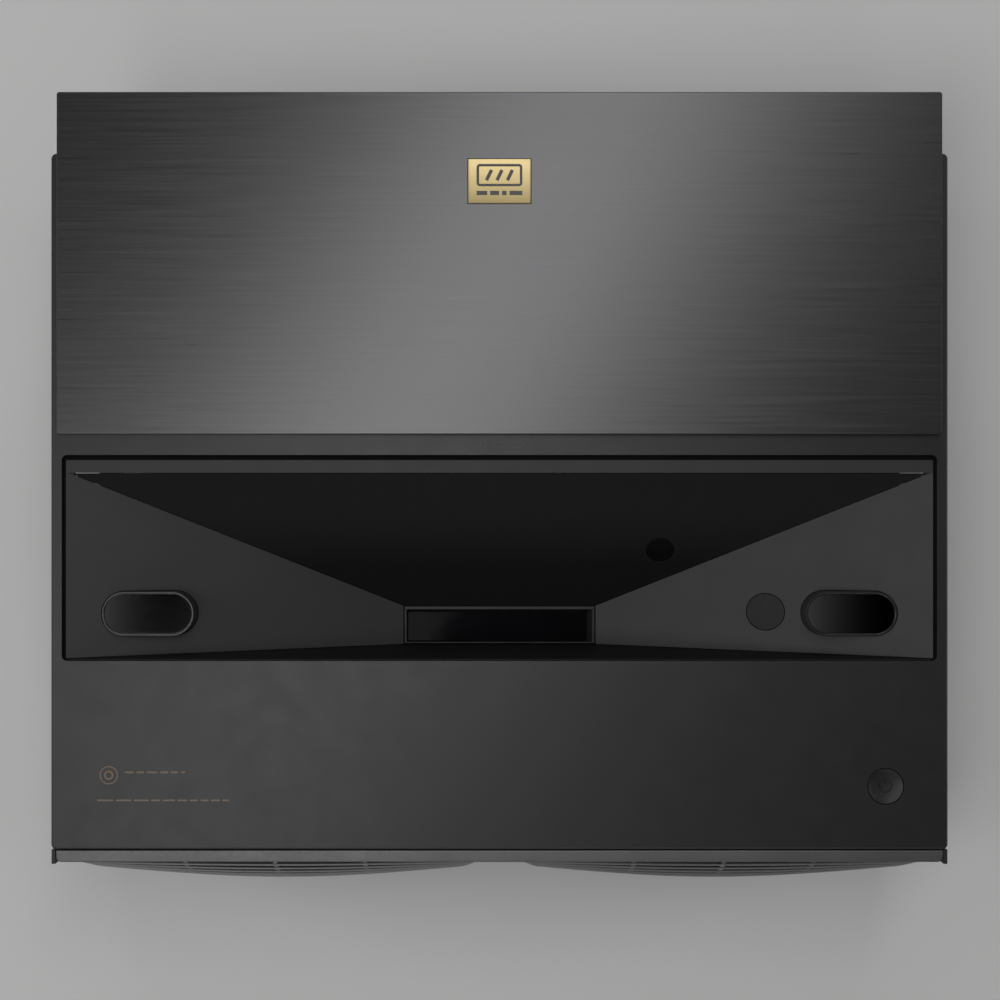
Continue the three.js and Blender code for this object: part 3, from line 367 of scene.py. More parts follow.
screen = bmesh.new()
columns = [-half_span + i * 2 * half_span / 120 for i in range(121)]
rows = [grille_low.z + j * (grille_high.z - grille_low.z) / 40 for j in range(41)]
screen_back = grille_face + rib_depth + 0.0006
sheet = [[screen.verts.new((x, screen_back - 0.96 * lobe(x, z), z)) for x in columns] for z in rows]
for low_row, high_row in zip(sheet, sheet[1:]):
    for i in range(120):
        screen.faces.new((low_row[i], low_row[i + 1], high_row[i + 1], high_row[i]))
bmesh.ops.solidify(screen, geom=screen.faces[:], thickness=-0.0006)
grille_screen = formed("grille_screen", screen, punched_steel("punched_steel", 0.0018))
mount(grille_screen, "chassis", "grille_grey")

# ---- Speaker baffle ----
# A board of black-painted fibreboard behind the grille, with two round holes for the loudspeakers.
# It closes the front of the case and stands in the pan.


def fixed_finish(node, finish):
    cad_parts[node].data.materials[0] = finish


def painted_board(name, tone):
    finish, tree, shader = new_finish(name)
    fibres = speckle(tree, 0.0012, 5, (1, 0.3, 3))
    dark = [0.6 * c for c in tone]
    light = [1.4 * c for c in tone]
    tree.links.new(two_tones(tree, between(tree, fibres, 0, 1), dark, light), shader.inputs["Base Color"])
    tree.links.new(between(tree, fibres, 0.75, 0.92), shader.inputs["Roughness"])
    tree.links.new(relief(tree, fibres, 0.00012), shader.inputs["Normal"])
    return finish


fixed_finish("speaker_baffle", painted_board("baffle_board", (0.010, 0.010, 0.0105)))

# ---- Lens well ----
# A matt grey moulded tray hung in the opening, with two wings that fall towards the window.
# A dead-black ramp and front wall line the path of the light between the wings.

well_plastic = moulded_plastic("well_plastic", (0.030, 0.030, 0.031), 0.5, 0.0005, 0.00002, 0.4)
well_lining = refined("well_lining", "well_tray", well_plastic, 0.0002)
mount(well_lining, "chassis", "well_grey", "well_tray")

ramp_plastic = moulded_plastic("ramp_plastic", (0.0085, 0.0085, 0.0087), 0.62, 0.0004, 0.00003, 0.2)
ramp = refined("dark_ramp", "light_ramp", ramp_plastic)
mount(ramp, "chassis", "ramp_black", "light_ramp")
front_wall = refined("dark_wall", "well_front_wall", ramp_plastic, 0.0001)
mount(front_wall, "chassis", "ramp_black", "well_front_wall")

# ---- Well seal ----
# A strip of black foam is stuck under the edge of the well opening and closes the gap round the tray.
# It is a near-black sheet of painted shade filling the gap round the tray, reaching furthest at the rear.


def foam_rubber(name, tone):
    finish, tree, shader = new_finish(name)
    cells = speckle(tree, 0.0009, 5)
    dark = [0.5 * c for c in tone]
    tree.links.new(two_tones(tree, between(tree, cells, 0, 1), dark, tone), shader.inputs["Base Color"])
    tree.links.new(between(tree, cells, 0.88, 0.98), shader.inputs["Roughness"])
    tree.links.new(relief(tree, cells, 0.0002), shader.inputs["Normal"])
    shader.inputs["Specular IOR Level"].default_value = 0.15
    return finish


def tile(x0, x1, y0, y1, z, corner=0.0004, count=6):
    ring = []
    for cx, cy, start in ((x1 - corner, y1 - corner, 0), (x0 + corner, y1 - corner, 90),
                          (x0 + corner, y0 + corner, 180), (x1 - corner, y0 + corner, 270)):
        for k in range(count + 1):
            turn = math.radians(start + 90 * k / count)
            ring.append((cx + corner * math.cos(turn), cy + corner * math.sin(turn), z))
    return ring


tray_low, tray_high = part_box("well_tray")
seal_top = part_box("top_case")[1].z - 0.0028
seal_out = (tray_low.x - 0.0034, tray_high.x + 0.0034, tray_low.y - 0.0034, tray_high.y + 0.0050)
seal_in = (tray_low.x, tray_high.x, tray_low.y, tray_high.y)
seal_rings = [tile(*seal_in, seal_top - 0.0016, 0.002), tile(*seal_out, seal_top - 0.0016, 0.004),
              tile(*seal_out, seal_top, 0.004), tile(*seal_in, seal_top, 0.002)]
seal = bmesh.new()
loops = [[seal.verts.new(at) for at in ring] for ring in seal_rings]
for k in range(len(loops[0])):
    for n in range(4):
        here = loops[n]
        there = loops[(n + 1) % 4]
        seal.faces.new((here[k], here[k - 1], there[k - 1], there[k]))
# Painted shade: the black foam fills the gap round the tray where shadow would fall.
well_gap_shade = formed("well_gap_shade", seal, foam_rubber("gap_shade_foam", (0.006, 0.006, 0.006)))
mount(well_gap_shade, "chassis", "shell_black")

# ---- Lens window ----
# A satin black frame is sunk in the floor of the well, and a coated glass plate lies in its seat.
# The glass keeps dust off the optics and shows a faint violet coating.


def coated_glass(name):
    finish, tree, shader = new_finish(name)
    film = between(tree, speckle(tree, 0.05, 1), 0, 1)
    violet = two_tones(tree, film, (0.004, 0.004, 0.005), (0.006, 0.006, 0.0075))
    tree.links.new(violet, shader.inputs["Base Color"])
    tree.links.new(between(tree, speckle(tree, 0.009, 5), 0.03, 0.10), shader.inputs["Roughness"])
    tree.links.new(relief(tree, speckle(tree, 0.02, 1), 0.00001), shader.inputs["Normal"])
    shader.inputs["Specular IOR Level"].default_value = 0.03
    return finish


frame_satin = moulded_plastic("frame_satin", (0.008, 0.008, 0.0083), 0.5, 0.0005, 0.00002)
window_frame = refined("window_surround", "window_frame", frame_satin, 0.0002)
mount(window_frame, "chassis", "window_black", "window_frame")
window_glass = refined("window_pane", "window_glass", coated_glass("window_coating"), 0.0001)
mount(window_glass, "chassis", "lens_glass", "window_glass")

# ---- Presence sensors ----
# A raised oval boss stands on each wing, moulded in satin black with a thin rounded rim.
# A flat polished infrared-clear lens is pressed into its top, just below the rim, with a painted highlight.


def polished_plastic(name, tone, gloss=0.06, shine=0.5):
    finish, tree, shader = new_finish(name)
    haze = between(tree, speckle(tree, 0.01, 4), 0, 1)
    light = [1.5 * c for c in tone]
    tree.links.new(two_tones(tree, haze, tone, light), shader.inputs["Base Color"])
    tree.links.new(between(tree, speckle(tree, 0.004, 5), gloss, gloss + 0.07), shader.inputs["Roughness"])
    tree.links.new(relief(tree, speckle(tree, 0.015, 2), 0.00001), shader.inputs["Normal"])
    shader.inputs["Specular IOR Level"].default_value = shine
    return finish


def oval(length, width, inset, x, y, z, count=96):
    radius = width / 2 - inset
    straight = (length - width) / 2
    ring = []
    for k in range(count):
        turn = (k + 0.5) * math.tau / count
        shift = straight if math.cos(turn) > 0 else -straight
        ring.append((x + shift + radius * math.cos(turn), y + radius * math.sin(turn), z))
    return ring


def ringed(name, rings, finish):
    shape = bmesh.new()
    swept(shape, rings)
    return formed(name, shape, finish)


def tinted_lens_painted_highlight(name, low_x, high_x):
    finish, tree, shader = new_finish(name)
    place = tree.nodes.new("ShaderNodeTexCoord")
    split = tree.nodes.new("ShaderNodeSeparateXYZ")
    tree.links.new(place.outputs["Object"], split.inputs["Vector"])
    # Painted highlight: the near-black lens is painted light at its left end, fading to dark at the right.
    across = between(tree, split.outputs["X"], 1, 0, low_x, high_x)
    highlight_falloff = tree.nodes.new("ShaderNodeMath")
    highlight_falloff.operation = "POWER"
    highlight_falloff.inputs[1].default_value = 2.6
    tree.links.new(across, highlight_falloff.inputs[0])
    tint_and_painted_highlight = two_tones(tree, highlight_falloff.outputs[0], (0.0003, 0.0003, 0.0004), (0.058, 0.058, 0.060))
    tree.links.new(tint_and_painted_highlight, shader.inputs["Base Color"])
    tree.links.new(between(tree, speckle(tree, 0.004, 5), 0.08, 0.16), shader.inputs["Roughness"])
    tree.links.new(relief(tree, speckle(tree, 0.015, 2), 0.000005), shader.inputs["Normal"])
    shader.inputs["Specular IOR Level"].default_value = 0.03
    return finish


boss_rim = moulded_plastic("boss_rim", (0.020, 0.020, 0.0207), 0.30, 0.0006, 0.00001)
for word in ("left", "right"):
    low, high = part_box("sensor_boss_" + word)
    x = (low.x + high.x) / 2
    y = (low.y + high.y) / 2
    length = high.x - low.x
    width = high.y - low.y
    steps = [(0, low.z), (0, high.z - 0.0006), (0.0001, high.z - 0.00025), (0.00035, high.z),
             (0.00105, high.z), (0.00135, high.z - 0.00025), (0.0014, high.z - 0.0006),
             (0.0014, high.z - 0.0015)]
    boss = ringed("oval_boss_" + word, [oval(length, width, i, x, y, z) for i, z in steps], boss_rim)
    mount(boss, "chassis", "window_black", "sensor_boss_" + word)
    steps = [(0.0017, high.z - 0.0012), (0.0017, high.z - 0.0006), (0.00175, high.z - 0.00045),
             (0.0019, high.z - 0.0004), (0.0030, high.z - 0.0004), (0.0060, high.z - 0.0004),
             (0.0085, high.z - 0.0004), (0.0110, high.z - 0.0004)]
    # Each lens gets its own painted highlight, spread over its length.
    lens_finish_painted_highlight = tinted_lens_painted_highlight("tinted_lens_painted_highlight_" + word, low.x + 0.002, high.x - 0.002)
    lens = ringed("oval_lens_" + word, [oval(length, width, i, x, y, z) for i, z in steps], lens_finish_painted_highlight)
    mount(lens, "chassis", "gloss_black", "sensor_lens_" + word)

# ---- Receiver and ramp sensor ----
# A round infrared window for the remote control is let into the right wing.
# A smaller cup in the ramp holds the sensor that watches the light path.

receiver_plastic = polished_plastic("receiver_plastic", (0.0065, 0.0065, 0.0068), 0.36, 0.2)
receiver = refined("receiver_disc", "receiver_window", receiver_plastic, 0.0002)
mount(receiver, "chassis", "gloss_black", "receiver_window")
cup_plastic = polished_plastic("cup_plastic", (0.003, 0.003, 0.0032), 0.45, 0.08)
sensor_cup = refined("sensor_cup", "ramp_sensor", cup_plastic, 0.0002)
mount(sensor_cup, "chassis", "gloss_black", "ramp_sensor")

# ---- Power button ----
# A round key in satin grey plastic, dished for a fingertip, with a standby ring moulded in its face.
# Its flange is caught under the top case, and it presses on a switch on a small board.

button_low, button_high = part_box("power_button")
button_x = (button_low.x + button_high.x) / 2
button_y = (button_low.y + button_high.y) / 2
button_steps = [(0.004, button_low.z), (0.004, button_high.z - 0.0041), (0.0118, button_high.z - 0.0041),
                (0.0118, button_high.z - 0.0026), (0.01, button_high.z - 0.0025),
                (0.01, button_high.z - 0.0003), (0.0097, button_high.z), (0.0091, button_high.z - 0.00015),
                (0.0084, button_high.z - 0.0005), (0.007, button_high.z - 0.00085),
                (0.005, button_high.z - 0.00115), (0.003, button_high.z - 0.00135),
                (0.0012, button_high.z - 0.00145)]
button_plastic = moulded_plastic("button_plastic", (0.015, 0.015, 0.0155), 0.46, 0.0005, 0.00002)
button_rings = [oval(2 * r, 2 * r, 0, button_x, button_y, z, 72) for r, z in button_steps]
dished_key = ringed("dished_key", button_rings, button_plastic)
mount(dished_key, "power_button", "button_grey", "power_button")


def ribbon(shape, path, width, rise, closed=False):
    """A flat printed line along a level path of points, a little proud of the surface."""
    count = len(path)
    inner = []
    outer = []
    for k, at in enumerate(path):
        ahead = path[(k + 1) % count] if closed or k + 1 < count else at
        behind = path[k - 1] if closed or k > 0 else at
        way = (ahead - behind).normalized()
        across = Vector((-way.y, way.x, 0)) * width / 2
        inner.append(shape.verts.new(at + across + Vector((0, 0, rise))))
        outer.append(shape.verts.new(at - across + Vector((0, 0, rise))))
    last = count if closed else count - 1
    for k in range(last):
        n = (k + 1) % count
        shape.faces.new((inner[k], outer[k], outer[n], inner[n]))


def printed(name, shape, finish):
    bmesh.ops.recalc_face_normals(shape, faces=shape.faces)
    bmesh.ops.solidify(shape, geom=shape.faces[:], thickness=0.00003)
    mesh = bpy.data.meshes.new(name)
    shape.to_mesh(mesh)
    shape.free()
    return finished(name, mesh, finish)


def printing_ink(name, tone, gloss, metal=0.0):
    finish, tree, shader = new_finish(name)
    patch = between(tree, speckle(tree, 0.0008, 3), 0, 1)
    dark = [0.8 * c for c in tone]
    light = [1.15 * c for c in tone]
    tree.links.new(two_tones(tree, patch, dark, light), shader.inputs["Base Color"])
    tree.links.new(between(tree, patch, gloss - 0.06, gloss + 0.06, 0, 1), shader.inputs["Roughness"])
    tree.links.new(relief(tree, speckle(tree, 0.0003, 2), 0.000004), shader.inputs["Normal"])
    shader.inputs["Metallic"].default_value = metal
    return finish


standby = bmesh.new()
face_z = button_high.z - 0.00112
button_face = Vector((button_x, button_y, face_z))
ring_path = []
for k in range(41):
    turn = math.radians(125 + k * 290 / 40)
    ring_path.append(button_face + 0.0035 * Vector((math.cos(turn), math.sin(turn), 0)))
ribbon(standby, ring_path, 0.0006, 0.0)
stroke = [button_face + Vector((0, rise, 0)) for rise in (0.0010, 0.0044)]
ribbon(standby, stroke, 0.0006, 0.0)
standby_mark = printed("standby_mark", standby, printing_ink("standby_ink", (0.010, 0.010, 0.0105), 0.35))
mount(standby_mark, "power_button", "button_grey")

# ---- Printed marks ----
# Three faint pad-printed outlines sit over the status lights between the cover and the well.
# A plain copper-coloured ring with two rows of short bars is printed near the front left corner.

case_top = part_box("top_case")[1].z
lights_y = 0.0292


def round_path(x, y, radius, count):
    turns = [k * math.tau / count for k in range(count)]
    return [Vector((x + radius * math.cos(turn), y + radius * math.sin(turn), case_top)) for turn in turns]


lights = bmesh.new()
ribbon(lights, round_path(-0.0090, lights_y, 0.0016, 32), 0.00035, 0.00003, True)
lens_path = [Vector(at) for at in oval(0.0058, 0.0026, 0, 0.0, lights_y, case_top, 32)]
ribbon(lights, lens_path, 0.00035, 0.00003, True)
long_path = [Vector(at) for at in oval(0.0078, 0.0030, 0, 0.0095, lights_y, case_top, 32)]
ribbon(lights, long_path, 0.00035, 0.00003, True)
status_marks = printed("status_marks", lights, printing_ink("status_ink", (0.075, 0.075, 0.078), 0.5))
mount(status_marks, "chassis", "case_grey")

copper = bmesh.new()
mark_x = -0.2178
mark_y = -0.1552
for radius, width in ((0.0048, 0.0006), (0.0021, 0.0009)):
    ribbon(copper, round_path(mark_x, mark_y, radius, 48), width, 0.00003, True)
bars = random.Random(4)
for row_y, start, stop in ((mark_y + 0.0016, mark_x + 0.0090, mark_x + 0.0425),
                           (mark_y - 0.0140, mark_x - 0.0065, mark_x + 0.0670)):
    x = start
    while x < stop:
        long = min(bars.uniform(0.0035, 0.0095), stop - x)
        ribbon(copper, [Vector((x, row_y, case_top)), Vector((x + long, row_y, case_top))], 0.0009, 0.00003)
        x += long + 0.0016
copper_marks = printed("copper_marks", copper, printing_ink("copper_ink", (0.17, 0.12, 0.085), 0.42, 0.6))
mount(copper_marks, "chassis", "case_grey")

# ---- Sliding cover ----
# A thin plate of aluminium brushed along its length and anodised dark, with a fine bright-cut edge.
# It is glued over a moulded carrier, which hangs on two brackets that run on steel rods.


def brushed_plate(name, tone, gloss):
    finish, tree, shader = new_finish(name)
    shader.inputs["Metallic"].default_value = 1
    fine = speckle(tree, 0.00055, 3, (0.010, 1, 0.01))
    broad = speckle(tree, 0.0016, 2, (0.014, 1, 0.01))
    both = tree.nodes.new("ShaderNodeMath")
    both.operation = "ADD"
    tree.links.new(between(tree, fine, 0, 0.6, 0.3, 0.7), both.inputs[0])
    tree.links.new(between(tree, broad, 0, 0.4, 0.3, 0.7), both.inputs[1])
    streaks = both.outputs["Value"]
    dark = [0.88 * c for c in tone]
    light = [1.12 * c for c in tone]
    tree.links.new(two_tones(tree, streaks, dark, light), shader.inputs["Base Color"])
    tree.links.new(between(tree, streaks, gloss - 0.03, gloss + 0.04, 0, 1), shader.inputs["Roughness"])
    tree.links.new(relief(tree, fine, 0.000004), shader.inputs["Normal"])
    return finish


cover_brushed = brushed_plate("cover_brushed", (0.096, 0.096, 0.098), 0.30)
cover_sheet = refined("cover_sheet", "cover_plate", cover_brushed, 0.0002)
mount(cover_sheet, "cover", "cover_metal", "cover_plate")
carrier_plastic = moulded_plastic("carrier_plastic", (0.013, 0.013, 0.0135), 0.55, 0.0008, 0.00004)
cover_tray = refined("cover_tray", "cover_carrier", carrier_plastic, 0.0003)
mount(cover_tray, "cover", "shell_black", "cover_carrier")

# ---- Badge ----
# A small plate of satin gold-plated brass set flush in the cover, with a fine raised border; its gold is
# painted lighter at the rear and darker at the front, as painted light and shade.
# A plain picture-screen outline and a few bars are inlaid in dark enamel.


def gold_plate_painted_light(name, low_y, high_y):
    finish, tree, shader = new_finish(name)
    shader.inputs["Metallic"].default_value = 1
    lines = speckle(tree, 0.0003, 3, (0.01, 1, 1))
    place = tree.nodes.new("ShaderNodeTexCoord")
    split = tree.nodes.new("ShaderNodeSeparateXYZ")
    tree.links.new(place.outputs["Object"], split.inputs["Vector"])
    # Painted light and shade: the gold runs from dark at the front edge to bright at the rear edge.
    up = between(tree, split.outputs["Y"], 0, 1, low_y, high_y)
    painted_light_gold = tree.nodes.new("ShaderNodeMix")
    painted_light_gold.data_type = "RGBA"
    painted_light_gold.blend_type = "MULTIPLY"
    painted_light_gold.inputs[0].default_value = 1
    tree.links.new(two_tones(tree, up, (0.36, 0.29, 0.14), (0.90, 0.72, 0.37)), painted_light_gold.inputs[6])
    streaks = two_tones(tree, between(tree, lines, 0, 1), (0.86, 0.86, 0.86), (1, 1, 1))
    tree.links.new(streaks, painted_light_gold.inputs[7])
    tree.links.new(painted_light_gold.outputs[2], shader.inputs["Base Color"])
    tree.links.new(between(tree, lines, 0.38, 0.5), shader.inputs["Roughness"])
    tree.links.new(relief(tree, lines, 0.000004), shader.inputs["Normal"])
    return finish


badge_low, badge_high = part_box("cover_badge")
badge_x = (badge_low.x + badge_high.x) / 2
badge_y = (badge_low.y + badge_high.y) / 2


def inset_tile(inset, z):
    return tile(badge_low.x + inset, badge_high.x - inset, badge_low.y + inset, badge_high.y - inset, z)


badge_steps = [(0, badge_low.z), (0, badge_high.z - 0.00012), (0.00012, badge_high.z),
               (0.0006, badge_high.z), (0.0007, badge_high.z - 0.0001)]
badge_rings = [inset_tile(inset, z) for inset, z in badge_steps]
gold_badge = ringed("gold_badge", badge_rings, gold_plate_painted_light("badge_gold", badge_low.y, badge_high.y))
mount(gold_badge, "cover", "badge_gold", "cover_badge")
inlay = bmesh.new()
inlay_z = badge_high.z - 0.0001
outline = [Vector(at) for at in tile(badge_x - 0.0120, badge_x + 0.0120, badge_y - 0.0022, badge_y + 0.0088,
                                     inlay_z, 0.0012)]
ribbon(inlay, outline, 0.0014, 0.00003, True)
for dx in (-0.0058, 0.0, 0.0058):
    ribbon(inlay, [Vector((badge_x + dx - 0.0014, badge_y + 0.0004, inlay_z)),
                   Vector((badge_x + dx + 0.0014, badge_y + 0.0062, inlay_z))], 0.0019, 0.00003)
for x0, x1 in ((-0.0127, -0.0068), (-0.0052, -0.0002), (0.0014, 0.0040), (0.0056, 0.0127)):
    ribbon(inlay, [Vector((badge_x + x0, badge_y - 0.0066, inlay_z)),
                   Vector((badge_x + x1, badge_y - 0.0066, inlay_z))], 0.0024, 0.00003)
badge_inlay = printed("badge_inlay", inlay, printing_ink("badge_enamel", (0.010, 0.009, 0.007), 0.3))
mount(badge_inlay, "cover", "badge_gold")

# ---- Cover drive ----
# Machined steel brackets with bored lugs run on two ground rods under the top case.
# A small motor turns a four-start screw through a coupling, and a brass nut pulls the left bracket.

bracket_steel = machined_metal("bracket_steel", (0.42, 0.42, 0.43), 0.38, "z")
rod_steel = machined_metal("rod_steel", (0.62, 0.62, 0.64), 0.2, "y", 0.0003)
nut_brass = machined_metal("nut_turned", (0.60, 0.43, 0.19), 0.32, "y")
motor_can = machined_metal("motor_can", (0.5, 0.5, 0.52), 0.3, "y", 0.0006)
for word in ("left", "right"):
    bracket = refined("slide_bracket_" + word, "cover_bracket_" + word, bracket_steel, 0.0003)
    mount(bracket, "cover", "drive_steel", "cover_bracket_" + word)
    fixed_finish("guide_rod_" + word, rod_steel)
fixed_finish("screw_nut", nut_brass)
fixed_finish("screw_bearing", nut_brass)
fixed_finish("cover_motor", motor_can)


def threaded(shape, centre, axis, start, stop, radius, groove, lead, starts, sides=32, per_turn=8):
    """A round bar whose surface winds as a screw thread, between two stations on its axis."""
    pitch = lead / starts
    count = max(2, int(round((stop - start) / pitch * per_turn)))
    sections = []
    for j in range(count + 1):
        station = start + (stop - start) * j / count
        ring = []
        for k in range(sides):
            turn = k * math.tau / sides
            phase = (station / pitch - starts * turn / math.tau) % 1.0
            depth = groove * (0.5 - 0.5 * math.cos(math.tau * phase))
            near_end = min(station - start, stop - station)
            if near_end < pitch / 2:
                depth = groove
            out = radius - depth
            if axis == "y":
                ring.append((centre[0] + out * math.cos(turn), station, centre[1] + out * math.sin(turn)))
            else:
                ring.append((centre[0] + out * math.cos(turn), centre[1] + out * math.sin(turn), station))
        sections.append(ring)
    swept(shape, sections)


screw_low, screw_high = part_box("lead_screw")
screw_x = (screw_low.x + screw_high.x) / 2
screw_z = (screw_low.z + screw_high.z) / 2
screw_shape = bmesh.new()
coupler = [(0.0018, screw_low.y + 0.005), (0.0018, screw_low.y), (0.0046, screw_low.y),
           (0.005, screw_low.y + 0.0004), (0.005, screw_low.y + 0.0086), (0.0046, screw_low.y + 0.009)]
rings = []
for radius, station in coupler + [(0.002, screw_low.y + 0.009)]:
    rings.append([(screw_x + radius * math.cos(k * math.tau / 32), station,
                   screw_z + radius * math.sin(k * math.tau / 32)) for k in range(32)])
swept(screw_shape, rings)
threaded(screw_shape, (screw_x, screw_z), "y", screw_low.y + 0.009, screw_high.y, 0.003, 0.0004, 0.008, 4)
four_start_screw = formed("four_start_screw", screw_shape, rod_steel)
mount(four_start_screw, "lead_screw", "drive_steel", "lead_screw")

# ---- Power switch ----
# A tact switch stands on a small green circuit board under the button, on two moulded posts.
# The board is etched glass fibre under green solder mask, and two screws hold it up to the case.

solder_mask, mask_tree, mask_shader = new_finish("solder_mask")
mask_place = mask_tree.nodes.new("ShaderNodeTexCoord")
tracks = mask_tree.nodes.new("ShaderNodeTexBrick")
tracks.inputs["Scale"].default_value = 130
tracks.inputs["Color1"].default_value = (0.010, 0.075, 0.030, 1)
tracks.inputs["Color2"].default_value = (0.014, 0.095, 0.038, 1)
tracks.inputs["Mortar"].default_value = (0.030, 0.150, 0.060, 1)
tracks.inputs["Mortar Size"].default_value = 0.035
mask_tree.links.new(mask_place.outputs["Object"], tracks.inputs["Vector"])
mask_tree.links.new(tracks.outputs["Color"], mask_shader.inputs["Base Color"])
mask_rub = between(mask_tree, speckle(mask_tree, 0.003, 3), 0.3, 0.45)
mask_tree.links.new(mask_rub, mask_shader.inputs["Roughness"])
mask_tree.links.new(relief(mask_tree, tracks.outputs["Fac"], 0.00004), mask_shader.inputs["Normal"])
fixed_finish("power_switch", solder_mask)

# ---- Projection optics ----
# A black anodised barrel carries the lens groups, and a ring round it sets the focus.
# A geared motor turns the ring, and a curved mirror throws the picture up through the window.

barrel_anodised = coated_steel("barrel_anodised", (0.012, 0.012, 0.014), 0.34)
gear_acetal = moulded_plastic("gear_acetal", (0.55, 0.53, 0.47), 0.38, 0.001, 0.00001)
fixed_finish("lens_barrel", barrel_anodised)
fixed_finish("focus_ring", barrel_anodised)
fixed_finish("focus_pinion", gear_acetal)
fixed_finish("focus_motor", motor_can)
mirror_silver, mirror_tree, mirror_shader = new_finish("mirror_silver")
mirror_shader.inputs["Metallic"].default_value = 1
haze = between(mirror_tree, speckle(mirror_tree, 0.012, 4), 0, 1)
mirror_tree.links.new(two_tones(mirror_tree, haze, (0.84, 0.86, 0.88), (0.90, 0.92, 0.94)),
                      mirror_shader.inputs["Base Color"])
mirror_tree.links.new(between(mirror_tree, speckle(mirror_tree, 0.006, 4), 0.01, 0.05),
                      mirror_shader.inputs["Roughness"])
ripple = relief(mirror_tree, speckle(mirror_tree, 0.02, 1), 0.000002)
mirror_tree.links.new(ripple, mirror_shader.inputs["Normal"])
fixed_finish("projection_mirror", mirror_silver)

# ---- Light engine ----
# A die-cast housing holds the picture chip and the phosphor wheel, and eight laser tubes feed it.
# The lasers' brass block is bolted to a finned aluminium heat sink in the air from the left fan.

cast_alloy = blasted_aluminium("cast_alloy", (0.42, 0.42, 0.43), 0.55)
fin_alloy = machined_metal("fin_alloy", (0.6, 0.61, 0.62), 0.35, "x", 0.0005)
laser_block = machined_metal("laser_block", (0.55, 0.41, 0.2), 0.35, "z", 0.0005)
fixed_finish("engine_housing", cast_alloy)
fixed_finish("laser_bank", laser_block)
fixed_finish("laser_heatsink", fin_alloy)
wheel_finish, wheel_tree, wheel_shader = new_finish("phosphor_ring")
dust = between(wheel_tree, speckle(wheel_tree, 0.0008, 4), 0, 1)
wheel_tree.links.new(two_tones(wheel_tree, dust, (0.62, 0.50, 0.10), (0.78, 0.68, 0.20)),
                     wheel_shader.inputs["Base Color"])
wheel_tree.links.new(between(wheel_tree, dust, 0.35, 0.6, 0, 1), wheel_shader.inputs["Roughness"])
wheel_tree.links.new(relief(wheel_tree, dust, 0.00003), wheel_shader.inputs["Normal"])
fixed_finish("phosphor_wheel", wheel_finish)

# ---- Loudspeakers ----
# Each has a black pressed-steel basket and magnet, screwed behind the baffle.
# The cone is pressed paper fibre with a soft rubber edge, and moves in and out.

basket_paint = coated_steel("basket_paint", (0.025, 0.025, 0.027), 0.45)
cone_finish, cone_tree, cone_shader = new_finish("cone_fibre")
fibre = speckle(cone_tree, 0.0015, 6)
pulp = between(cone_tree, fibre, 0, 1)
cone_tone = two_tones(cone_tree, pulp, (0.010, 0.010, 0.0105), (0.030, 0.030, 0.031))
cone_tree.links.new(cone_tone, cone_shader.inputs["Base Color"])
cone_tree.links.new(between(cone_tree, fibre, 0.75, 0.95), cone_shader.inputs["Roughness"])
cone_tree.links.new(relief(cone_tree, fibre, 0.00015), cone_shader.inputs["Normal"])
for word in ("left", "right"):
    fixed_finish("speaker_" + word, basket_paint)
    fixed_finish("speaker_cone_" + word, cone_finish)

# ---- Fans ----
# A square-framed axial fan of glass-filled black plastic stands behind each side's louvres.
# Seven blades on a hub spin on the frame's four struts.

fan_plastic = moulded_plastic("fan_plastic", (0.016, 0.016, 0.017), 0.4, 0.0012, 0.00005)
rotor_plastic = moulded_plastic("rotor_plastic", (0.024, 0.024, 0.026), 0.34, 0.001, 0.00002)
for word in ("left", "right"):
    fan_frame = refined("fan_housing_" + word, "fan_frame_" + word, fan_plastic, 0.0004)
    mount(fan_frame, "chassis", "fan_black", "fan_frame_" + word)
    rotor = refined("fan_blades_" + word, "fan_rotor_" + word, rotor_plastic, 0.0003)
    mount(rotor, "fan_rotor_" + word, "fan_black", "fan_rotor_" + word)

# ---- Mains inlet ----
# A black moulded appliance inlet is pressed into the rear panel from outside.
# Three flat nickel-plated pins stand in its recess for the mains lead's connector.

inlet_body = refined("inlet_body", "mains_inlet", panel_black, 0.0003)
mount(inlet_body, "chassis", "shell_black", "mains_inlet")
pin_nickel = machined_metal("pin_nickel", (0.62, 0.58, 0.50), 0.28, "y")
inlet_low, inlet_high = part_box("mains_inlet")
pin_shape = bmesh.new()
for dx, dz in ((-0.007, -0.002), (0.007, -0.002), (0.0, 0.002)):
    px = (inlet_low.x + inlet_high.x) / 2 + dx
    pz = (inlet_low.z + inlet_high.z) / 2 + dz
    sections = []
    for back, inset in ((0.0176, 0.0), (0.0045, 0.0), (0.0039, 0.0003)):
        y = inlet_high.y - back
        w = 0.00105 - inset
        h = 0.00205 - inset
        sections.append([(px - w, y, pz - h), (px + w, y, pz - h), (px + w, y, pz + h), (px - w, y, pz + h)])
    swept(pin_shape, sections)
inlet_pins = formed("inlet_pins", pin_shape, pin_nickel)
mount(inlet_pins, "chassis", "drive_steel")

# ---- Main board ----
# A green circuit board stands on four posts in the pan, with its sockets along the rear edge.
# The network, picture and audio sockets have plated shells, and a finned sink covers the main chip.

